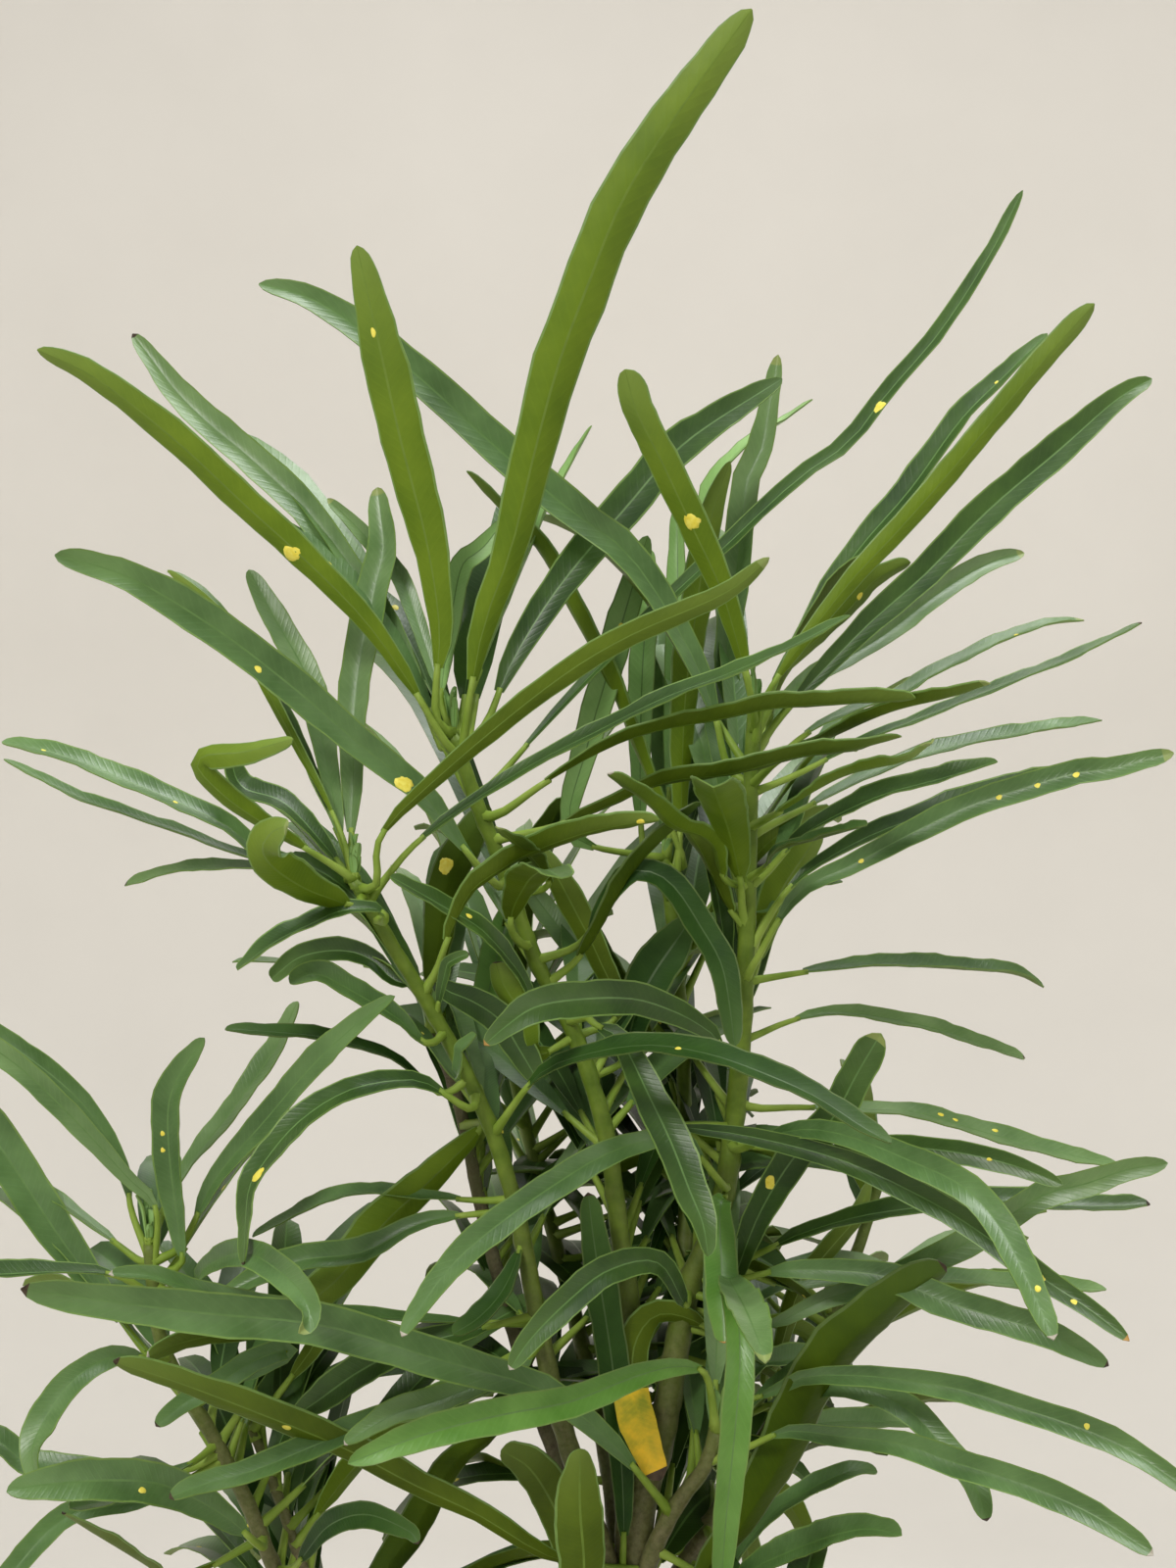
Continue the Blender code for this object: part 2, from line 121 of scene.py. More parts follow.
class Finish:
    """One material: a Principled shader, and the nodes that vary its colour, gloss and relief."""

    def __init__(self, name, colour, roughness, **fixed):
        self.mat = bpy.data.materials.new(name)
        self.mat.use_nodes = True
        self.tree = self.mat.node_tree
        self.shader = self.tree.nodes["Principled BSDF"]
        self.shader.inputs["Base Color"].default_value = (*colour, 1)
        self.shader.inputs["Roughness"].default_value = roughness
        for key, value in fixed.items():
            self.shader.inputs[key.replace("_", " ")].default_value = value
        self.mat.diffuse_color = (*colour, 1)

    def node(self, kind, settings=None, out=0, **values):
        """Adds a node; settings are set first, then the values or links of its sockets."""
        node = self.tree.nodes.new("ShaderNode" + kind)
        for key, value in (settings or {}).items():
            if key == "stops":
                ramp = node.color_ramp
                while len(ramp.elements) < len(value):
                    ramp.elements.new(0.5)
                for element, (at, shade) in zip(ramp.elements, value):
                    element.position = at
                    element.color = (*shade, 1) if isinstance(shade, tuple) else (shade,) * 3 + (1,)
            else:
                setattr(node, key, value)
        for key, value in values.items():
            name = key.replace("_", " ")
            feed(self.tree, next(s for s in node.inputs if s.name == name and s.enabled), value)
        socket = next(s for s in node.outputs if s.enabled) if out == 0 else node.outputs[out]
        return Wire(self.tree, socket)

    def here(self, kind="Object"):
        return self.node("TexCoord", out=kind)

    def noise(self, scale, detail=2.0, rough=0.5):
        return self.node("TexNoise", Vector=self.here(), Scale=scale, Detail=detail, Roughness=rough)

    def ramp(self, factor, *stops):
        return self.node("ValToRGB", {"stops": stops}, Fac=factor)

    def mix(self, factor, first, second):
        first, second = ((*c, 1) if isinstance(c, tuple) else c for c in (first, second))
        return self.node("Mix", {"data_type": "RGBA"}, Factor=factor, A=first, B=second)

    def set(self, name, wire):
        self.tree.links.new(wire.socket, self.shader.inputs[name])
        return self

    def relief(self, height, strength, distance):
        return self.set("Normal", self.node("Bump", Height=height, Strength=strength, Distance=distance))


def finished_mesh(name, work):
    mesh = bpy.data.meshes.new(name)
    work.to_mesh(mesh)
    work.free()
    return mesh


def new_object(name, data):
    """Puts an object into the scene, unmoved."""
    made = bpy.data.objects.new(name, data)
    bpy.context.scene.collection.objects.link(made)
    return made


def new_piece(name, work, finishes, smooth=True):
    """Makes an object of a bmesh. Its faces' material numbers count through the finishes."""
    if smooth:
        for face in work.faces:
            face.smooth = True
    mesh = finished_mesh(name, work)
    for finish in finishes:
        mesh.materials.append(finish.mat)
    return new_object(name, mesh)


plaster = Finish("plaster", (0.722, 0.696, 0.650), 0.95)
plaster.set("Base Color", plaster.ramp(
    plaster.noise(2.5, 4.0, 0.6), (0.3, (0.702, 0.676, 0.630)), (0.7, (0.742, 0.716, 0.670))))
work = bmesh.new()
profile = [(0, 0)] + [(ROOM_R - COVE_R + COVE_R * math.sin(turn), COVE_R - COVE_R * math.cos(turn))
                      for turn in np.linspace(0, math.pi / 2, COVE_STEPS)] + [(ROOM_R, ROOM_H)]
corners = [work.verts.new((out, 0, up)) for out, up in profile]
sides = [work.edges.new(pair) for pair in zip(corners, corners[1:])]
bmesh.ops.spin(
    work, geom=corners + sides, axis=(0, 0, 1), cent=(0, 0, 0), steps=ROOM_SIDES, angle=2 * math.pi,
    use_merge=True)
bmesh.ops.remove_doubles(work, verts=work.verts, dist=0.0001)
new_piece("backdrop", work, [plaster])

eye_data = bpy.data.cameras.new("eye")
eye_data.sensor_fit = "VERTICAL"
eye_data.sensor_height = SENSOR_MM
eye_data.lens = LENS_MM
eye = new_object("eye", eye_data)
eye.location = EYE
eye.rotation_euler = (math.radians(90), 0, 0)
bpy.context.scene.camera = eye

for name, (place, aim, size, watts, colour) in LAMPS.items():
    data = bpy.data.lights.new(name, "AREA")
    data.shape = "DISK"
    data.size = size
    data.energy = watts
    data.color = colour
    lamp = new_object(name, data)
    lamp.location = place
    lamp.rotation_euler = (Vector(aim) - Vector(place)).to_track_quat("-Z", "Y").to_euler()
    lamp.visible_camera = False

sky = bpy.data.worlds.new("sky")
sky.use_nodes = True
sky.node_tree.nodes["Background"].inputs["Color"].default_value = (*SKY_COLOUR, 1)
sky.node_tree.nodes["Background"].inputs["Strength"].default_value = SKY_STRENGTH
bpy.context.scene.world = sky
bpy.context.scene.view_settings.view_transform = "Standard"

# --- The pot ---------------------------------------------------------------------------------
# Thrown red clay, fired and unglazed, straight from the frame. Lime from hard water blooms on it
# in pale clouds.
clay = Finish("fired_clay", (0.50, 0.22, 0.13), 0.85)
tone = clay.ramp(clay.noise(14, 5, 0.6), (0.25, (0.40, 0.165, 0.09)), (0.5, (0.52, 0.235, 0.135)),
                 (0.8, (0.60, 0.31, 0.19)))
bloom = clay.ramp(clay.noise(7, 6, 0.65), (0.5, 0.0), (0.72, 0.55))
clay.set("Base Color", clay.mix(bloom, tone, (0.66, 0.55, 0.46)))
clay.set("Roughness", clay.noise(30, 3) * 0.2 + 0.72)
rings = clay.node("TexWave", {"bands_direction": "Z"}, Vector=clay.here(), Scale=55.0, Distortion=1.2)
clay.relief(rings * 0.35 + clay.noise(420, 3, 0.7), 0.35, 0.0006)
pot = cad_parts["pot"]
pot.data.materials.clear()
pot.data.materials.append(clay.mat)

# --- The soil --------------------------------------------------------------------------------
# Dark potting mix, a lumpy crust with bits of bark and white perlite lying on it. It fills the pot
# to a finger's width under the rim, so the whole plug of it is drawn.
SOIL_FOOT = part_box("soil")[0][2]
SOIL_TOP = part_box("soil")[1][2]
SOIL_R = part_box("soil")[1][0]
SOIL_FOOT_R = 0.0745
CRUST_RINGS = 24
CRUST_INSET = SOIL_R * 0.0395
LUMP_WAVES, LUMP_PITCH, LUMP_HEIGHT = 60, 700, 0.00042
CRUMBS = 260
mix_earth = Finish("potting_mix", (0.045, 0.030, 0.022), 0.95)
mix_earth.set("Base Color", mix_earth.ramp(
    mix_earth.noise(260, 5, 0.7), (0.3, (0.018, 0.012, 0.009)), (0.6, (0.06, 0.04, 0.028)),
    (0.85, (0.13, 0.09, 0.06))))
mix_earth.relief(mix_earth.noise(700, 4, 0.7), 0.8, 0.0012)


def mottled(name, dark, light, rough, scale, **fixed):
    """A finish that is clouded between two colours; a larger scale makes smaller clouds."""
    finish = Finish(name, light, rough, **fixed)
    return finish.set("Base Color", finish.ramp(finish.noise(scale, 3), (0.32, dark), (0.70, light)))


perlite = mottled("perlite", (0.66, 0.63, 0.58), (0.82, 0.80, 0.77), 0.9, 800)
chip_bark = mottled("bark_chip", (0.06, 0.03, 0.018), (0.20, 0.11, 0.06), 0.9, 500)
soil_rng = np.random.default_rng(11)
lumps = soil_rng.uniform(-1, 1, (LUMP_WAVES, 3))


def lump_height(x, y):
    """A smooth random field made of a few dozen low waves."""
    waves = np.sin(lumps[:, 0] * LUMP_PITCH * x + lumps[:, 1] * LUMP_PITCH * y + lumps[:, 2] * 9)
    return LUMP_HEIGHT * float(waves.sum()) / 3


work = bmesh.new()
bmesh.ops.create_circle(work, cap_ends=True, segments=72, radius=SOIL_FOOT_R)
bmesh.ops.translate(work, verts=work.verts, vec=(0, 0, SOIL_FOOT))
wall = bmesh.ops.extrude_face_region(work, geom=work.faces[:])
top = [v for v in wall["geom"] if isinstance(v, bmesh.types.BMVert)]
for vert in top:
    vert.co *= SOIL_R / SOIL_FOOT_R
    vert.co.z = SOIL_TOP - 0.002
for _ in range(CRUST_RINGS):
    lid = [f for f in work.faces if all(v in top for v in f.verts)]
    bmesh.ops.inset_region(work, faces=lid, thickness=CRUST_INSET, depth=0.0)
    top = list(lid[0].verts)
for vert in work.verts:
    if vert.co.z > SOIL_TOP - 0.003:
        out = math.hypot(vert.co.x, vert.co.y) / SOIL_R
        vert.co.z = SOIL_TOP - 0.0022 + lump_height(vert.co.x, vert.co.y) * (1.05 - out**6)
bmesh.ops.recalc_face_normals(work, faces=work.faces)
soil = new_piece("soil_plug", work, [mix_earth])
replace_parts(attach(soil, "root"), "soil")

work = bmesh.new()
for k in range(CRUMBS):
    white = k % 3 == 0
    out = SOIL_R * 0.96 * math.sqrt(soil_rng.uniform(0.02, 1))
    turn = soil_rng.uniform(0, 2 * math.pi)
    size = soil_rng.uniform(0.0008, 0.0022) * (1.0 if white else 1.7)
    made = bmesh.ops.create_icosphere(work, subdivisions=1, radius=size)["verts"]
    bmesh.ops.scale(work, verts=made, vec=(1, 1, 0.8) if white else (1.5, 0.7, 0.35))
    for vert in made:
        vert.co *= soil_rng.uniform(0.8, 1.15)
    leaning = Vector((soil_rng.normal(0, 0.3), soil_rng.normal(0, 0.3), 1))
    tilt = Vector((0, 0, 1)).rotation_difference(leaning).to_matrix()
    bmesh.ops.rotate(work, verts=made, cent=(0, 0, 0), matrix=tilt)
    x, y = out * math.cos(turn), out * math.sin(turn)
    bmesh.ops.translate(work, verts=made, vec=(x, y, SOIL_TOP - 0.0016 + lump_height(x, y)))
    for face in {f for v in made for f in v.link_faces}:
        face.material_index = 0 if white else 1
crumbs = new_piece("soil_crumbs", work, [perlite, chip_bark], smooth=False)
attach(crumbs, "root")

# --- Trunk and boughs ------------------------------------------------------------------------
# One woody stem forks into green shoots. The old wood is grey brown and finely cracked, the young
# shoots are smooth and olive, and every fallen leaf has left a small raised scar.
TRUNK_PATH = (
    (5, 0, 366), (5, 0, 345), (5, 0, 322), (3.5, 0, 285), (1.5, 0, 247), (0.4, 0, 210), (0, 0, 185.3))
TRUNK_TIP_R, TRUNK_FOOT_R, TRUNK_FLARE = 4.8, 6.8, 0.0040
TRUNK_FOOT, TRUNK_SEAT = 0.1853, 0.1868
# name: tip radius, foot radius, path from tip to foot in millimetres
BOUGHS = {
    "bough_right": (2.2, 4.3, (
        (38, 5, 592), (36.6, 5, 565), (35.8, 5, 532), (34, 5, 500), (31.5, 4, 477), (28, 3, 460),
        (21, 2, 444), (17, 1, 425), (13.5, 0, 405), (8.5, 0, 388), (5, 0, 363))),
    "bough_centre": (2.0, 3.3, (
        (-39, -5, 585), (-34, -5, 570), (-27, -3, 552), (-18.5, -1, 528), (-10, 0, 512), (-4, 0, 496),
        (0.2, 0, 480), (3, 0, 458), (6, 1, 435), (5, 1, 400), (5, 0, 363))),
    "bough_left": (1.9, 3.2, (
        (-62, -25, 549), (-55, -23, 536), (-43.7, -20, 517), (-34, -17, 498), (-28, -15, 484),
        (-23, -12, 466), (-18.5, -9, 443), (-13, -7, 416), (-5, -5, 390), (5, 0, 357))),
    "bough_left_back": (1.7, 2.8, (
        (-46, 10, 508), (-41, 13, 497), (-36.5, 13, 480), (-33, 12, 463), (-27, 10, 440),
        (-18, 8, 412), (-9, 6, 388), (4, 0, 352))),
    "bough_low_left": (1.8, 3.8, (
        (-113, -20, 459), (-111, -20, 438), (-105, -20, 424), (-98, -19, 412), (-90, -18, 396),
        (-83, -16, 378), (-71, -13, 347), (-54, -9, 312), (-35, -6, 278), (-15, -3, 247), (1, 0, 226))),
    "bough_low_left_twin": (1.4, 2.2, (
        (-90, -4, 409), (-84, -5, 394), (-78, -7, 378), (-68, -9, 350), (-57, -9, 317))),
    "bough_back_pale": (1.9, 2.7, (
        (16, 40, 552), (19, 38, 524), (20.4, 35, 505), (21, 30, 482), (21, 24, 456),
        (18.5, 14, 432), (13.5, 1, 402))),
    "bough_fork": (2.0, 3.2, (
        (27, -13, 411), (24, -11, 401), (18, -8, 392), (11, -4, 377), (5, 0, 354))),
    "bough_back_left": (1.8, 3.0, (
        (-31, 74, 516), (-27, 70, 494), (-19, 58, 463), (-8, 38, 426), (1, 17, 390), (5, 0, 350))),
    "bough_back_right": (1.8, 3.0, (
        (80, 78, 463), (72, 69, 441), (58, 54, 414), (35, 31, 386), (16, 12, 362), (5, 0, 340))),
    "bough_front_right": (1.8, 3.0, (
        (49, -68, 384), (45, -60, 364), (36, -44, 336), (21, -22, 303), (3.5, 0, 272))),
}
LIMB_SIDES, LIMB_STEP = 12, 0.0022
NODE_EVERY = 0.0078
GOLDEN = math.radians(137.508)
BARK_LINE = 0.478


def run_along(line):
    """How far along the line each of its points lies."""
    return np.concatenate([[0], np.cumsum(np.linalg.norm(np.diff(line, axis=0), axis=1))])


def points_at(line, run, at):
    """The line's points at these distances along it."""
    return np.array([np.interp(at, run, line[:, k]) for k in range(3)]).T


def curve_points(points, step):
    """A smooth curve through the points, cut at equal steps, in metres."""
    points = [np.array(p, float) for p in points]
    ends = [2 * points[0] - points[1], *points, 2 * points[-1] - points[-2]]
    dense = []
    for i in range(1, len(ends) - 2):
        p0, p1, p2, p3 = ends[i - 1 : i + 3]
        for t in np.linspace(0, 1, 14, endpoint=False):
            dense.append(0.5 * (2 * p1 + (p2 - p0) * t + (2 * p0 - 5 * p1 + 4 * p2 - p3) * t**2
                                + (3 * p1 - p0 - 3 * p2 + p3) * t**3))
    dense = np.array([*dense, points[-1]])
    run = run_along(dense)
    count = max(3, round(run[-1] / step))
    return points_at(dense, run, np.linspace(0, run[-1], count + 1))


def unit_rows(vectors):
    return vectors / np.maximum(np.linalg.norm(vectors, axis=1), 1e-6)[:, None]


def tangents(line):
    return unit_rows(np.gradient(line, axis=0))


def carried(side, along):
    """The unit vector beside a line at each of its points, carried along it without a twist."""
    side = np.array(side, float)
    sides = []
    for way in along:
        side = side - way * side.dot(way)
        side /= np.linalg.norm(side)
        sides.append(side)
    return np.array(sides)


@functools.cache
def tube_template(sides, rings):
    """A unit tube along Y, closed at both ends: the blank for stems and leaf stalks."""
    blank = bmesh.new()
    bmesh.ops.create_cone(blank, cap_ends=True, segments=sides, radius1=1, radius2=1, depth=1)
    lay_down = Matrix.Rotation(math.radians(-90), 3, "X")
    bmesh.ops.rotate(blank, verts=blank.verts, cent=(0, 0, 0), matrix=lay_down)
    bmesh.ops.translate(blank, verts=blank.verts, vec=(0, 0.5, 0))
    long_edges = [e for e in blank.edges if abs(e.verts[0].co.y - e.verts[1].co.y) > 0.5]
    bmesh.ops.subdivide_edges(blank, edges=long_edges, cuts=rings - 1)
    bmesh.ops.recalc_face_normals(blank, faces=blank.faces)
    for face in blank.faces:
        face.smooth = len(face.verts) == 4
    return finished_mesh("tube_blank", blank)


def blank_points(mesh):
    points = np.empty(len(mesh.vertices) * 3)
    mesh.vertices.foreach_get("co", points)
    return points.reshape(-1, 3)


def stamp(work, blank, points, slots=None):
    """Adds a copy of the blank to the piece, with its vertices moved to these points."""
    copy = blank.copy()
    copy.vertices.foreach_set("co", points.ravel())
    if slots is not None:
        copy.polygons.foreach_set("material_index", slots)
    work.from_mesh(copy)
    bpy.data.meshes.remove(copy)


def bend_tube(blank, line, radius_at, start_side=(0, 1, 0)):
    """The blank tube laid along the line; radius_at gives the radius from share, run and turn."""
    raw = blank_points(blank)
    along = tangents(line)
    sides = carried(start_side, along)
    across = np.cross(along, sides)
    count = len(line) - 1
    row = np.clip(np.round(raw[:, 1] * count).astype(int), 0, count)
    turn = np.arctan2(raw[:, 2], raw[:, 0])
    radius = radius_at(raw[:, 1], raw[:, 1] * run_along(line)[-1], turn)
    offset = np.cos(turn)[:, None] * sides[row] - np.sin(turn)[:, None] * across[row]
    return line[row] + offset * radius[:, None]


old_wood = Finish("old_wood", (0.17, 0.14, 0.085), 0.85)
cracks = old_wood.noise(900, 5, 0.7)
old_wood.set("Base Color", old_wood.mix(
    old_wood.ramp(old_wood.noise(120, 4), (0.35, 0.0), (0.7, 1.0)),
    old_wood.ramp(cracks, (0.3, (0.07, 0.055, 0.03)), (0.7, (0.20, 0.165, 0.10))), (0.14, 0.15, 0.06)))
old_wood.relief(cracks, 0.6, 0.0006)
young_stem = Finish("young_stem", (0.10, 0.16, 0.02), 0.5, Specular_IOR_Level=0.3)
height = young_stem.node("SeparateXYZ", out=2, Vector=young_stem.here())
aged = young_stem.ramp((BARK_LINE - height) * 6.0 + young_stem.noise(160, 3) * 0.5, (0.2, 0.0), (1.0, 1.0))
green = young_stem.ramp(
    young_stem.noise(220, 3), (0.3, (0.088, 0.152, 0.010)), (0.7, (0.158, 0.240, 0.024)))
woody = young_stem.ramp(
    young_stem.noise(700, 4, 0.65), (0.3, (0.075, 0.065, 0.03)), (0.7, (0.19, 0.165, 0.09)))
young_stem.set("Base Color", young_stem.mix(aged, green, woody))
young_stem.relief(young_stem.noise(900, 3, 0.6), 0.35, 0.0004)


def limb(work, path_mm, tip_r, foot_r, seed, flare=0.0):
    """One limb with its nodes and scars, a tapering tube that swells at every leaf. Returns its line."""
    line = curve_points(np.array(path_mm, float) / 1000, LIMB_STEP)
    blank = tube_template(LIMB_SIDES, len(line) - 1)
    rng = np.random.default_rng(seed)
    phases = rng.uniform(0, 6.28, 6)

    def radius_at(share, run, turn):
        radius = (0.93 * tip_r + (foot_r - 0.93 * tip_r) * share**1.7) / 1000
        node = np.round(run / NODE_EVERY)
        near = np.exp(-(((run - node * NODE_EVERY) / 0.0013) ** 2))
        facing = np.cos(turn - node * GOLDEN - seed)
        radius = radius * (1 + near * (0.03 + 0.13 * np.clip(facing, 0, 1) ** 4))
        for k, phase in enumerate(phases):
            radius = radius * (1 + 0.018 * np.sin(turn * (1 + k % 4) + run * 140 * (k + 1) + phase))
        rest = (1 - share) * run.max()
        return radius + flare * np.exp(-3.0 * rest / 0.022)

    stamp(work, blank, bend_tube(blank, line, radius_at))
    return line


work = bmesh.new()
limb(work, TRUNK_PATH, TRUNK_TIP_R, TRUNK_FOOT_R, 3, flare=TRUNK_FLARE)
for vert in work.verts:
    if vert.co.z < TRUNK_SEAT:
        vert.co.z = min(vert.co.z, TRUNK_FOOT)
trunk = new_piece("trunk_bark", work, [old_wood])
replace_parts(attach(trunk, "root"), "trunk")

limb_lines = {}
old_work, young_work = bmesh.new(), bmesh.new()
for seed, (name, (tip_r, foot_r, path)) in enumerate(BOUGHS.items()):
    work = old_work if name == "bough_left_back" else young_work
    limb_lines[name] = limb(work, path, tip_r, foot_r, seed)
old_bough = new_piece("woody_bough", old_work, [old_wood])
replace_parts(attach(old_bough, "root"), "bough_left_back")
shoots = new_piece("green_boughs", young_work, [young_stem])
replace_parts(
    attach(shoots, "root"), *[n for n in BOUGHS if n != "bough_left_back"])

# --- Leaves ----------------------------------------------------------------------------------
# Long leathery straps, blue green and softly glossy above with a pale midrib, yellow olive below.
# Each is a thin closed blade on a curved stalk that grows from a node of its shoot.
BLADE_THICK = 0.00036
BLADE_STEPS = 36
STALK_ROWS = 6
STALK_R = 0.00105
SHORT_STALK, LONG_STALK = 0.003, 0.021
BLUNT = 0.12
VEINS, VEIN_SLANT = 260.0, 0.10
TOP, UNDER, RIB, RIB_UNDER, EDGE = range(5)
UNDER_OF = {TOP: UNDER, RIB: RIB_UNDER}
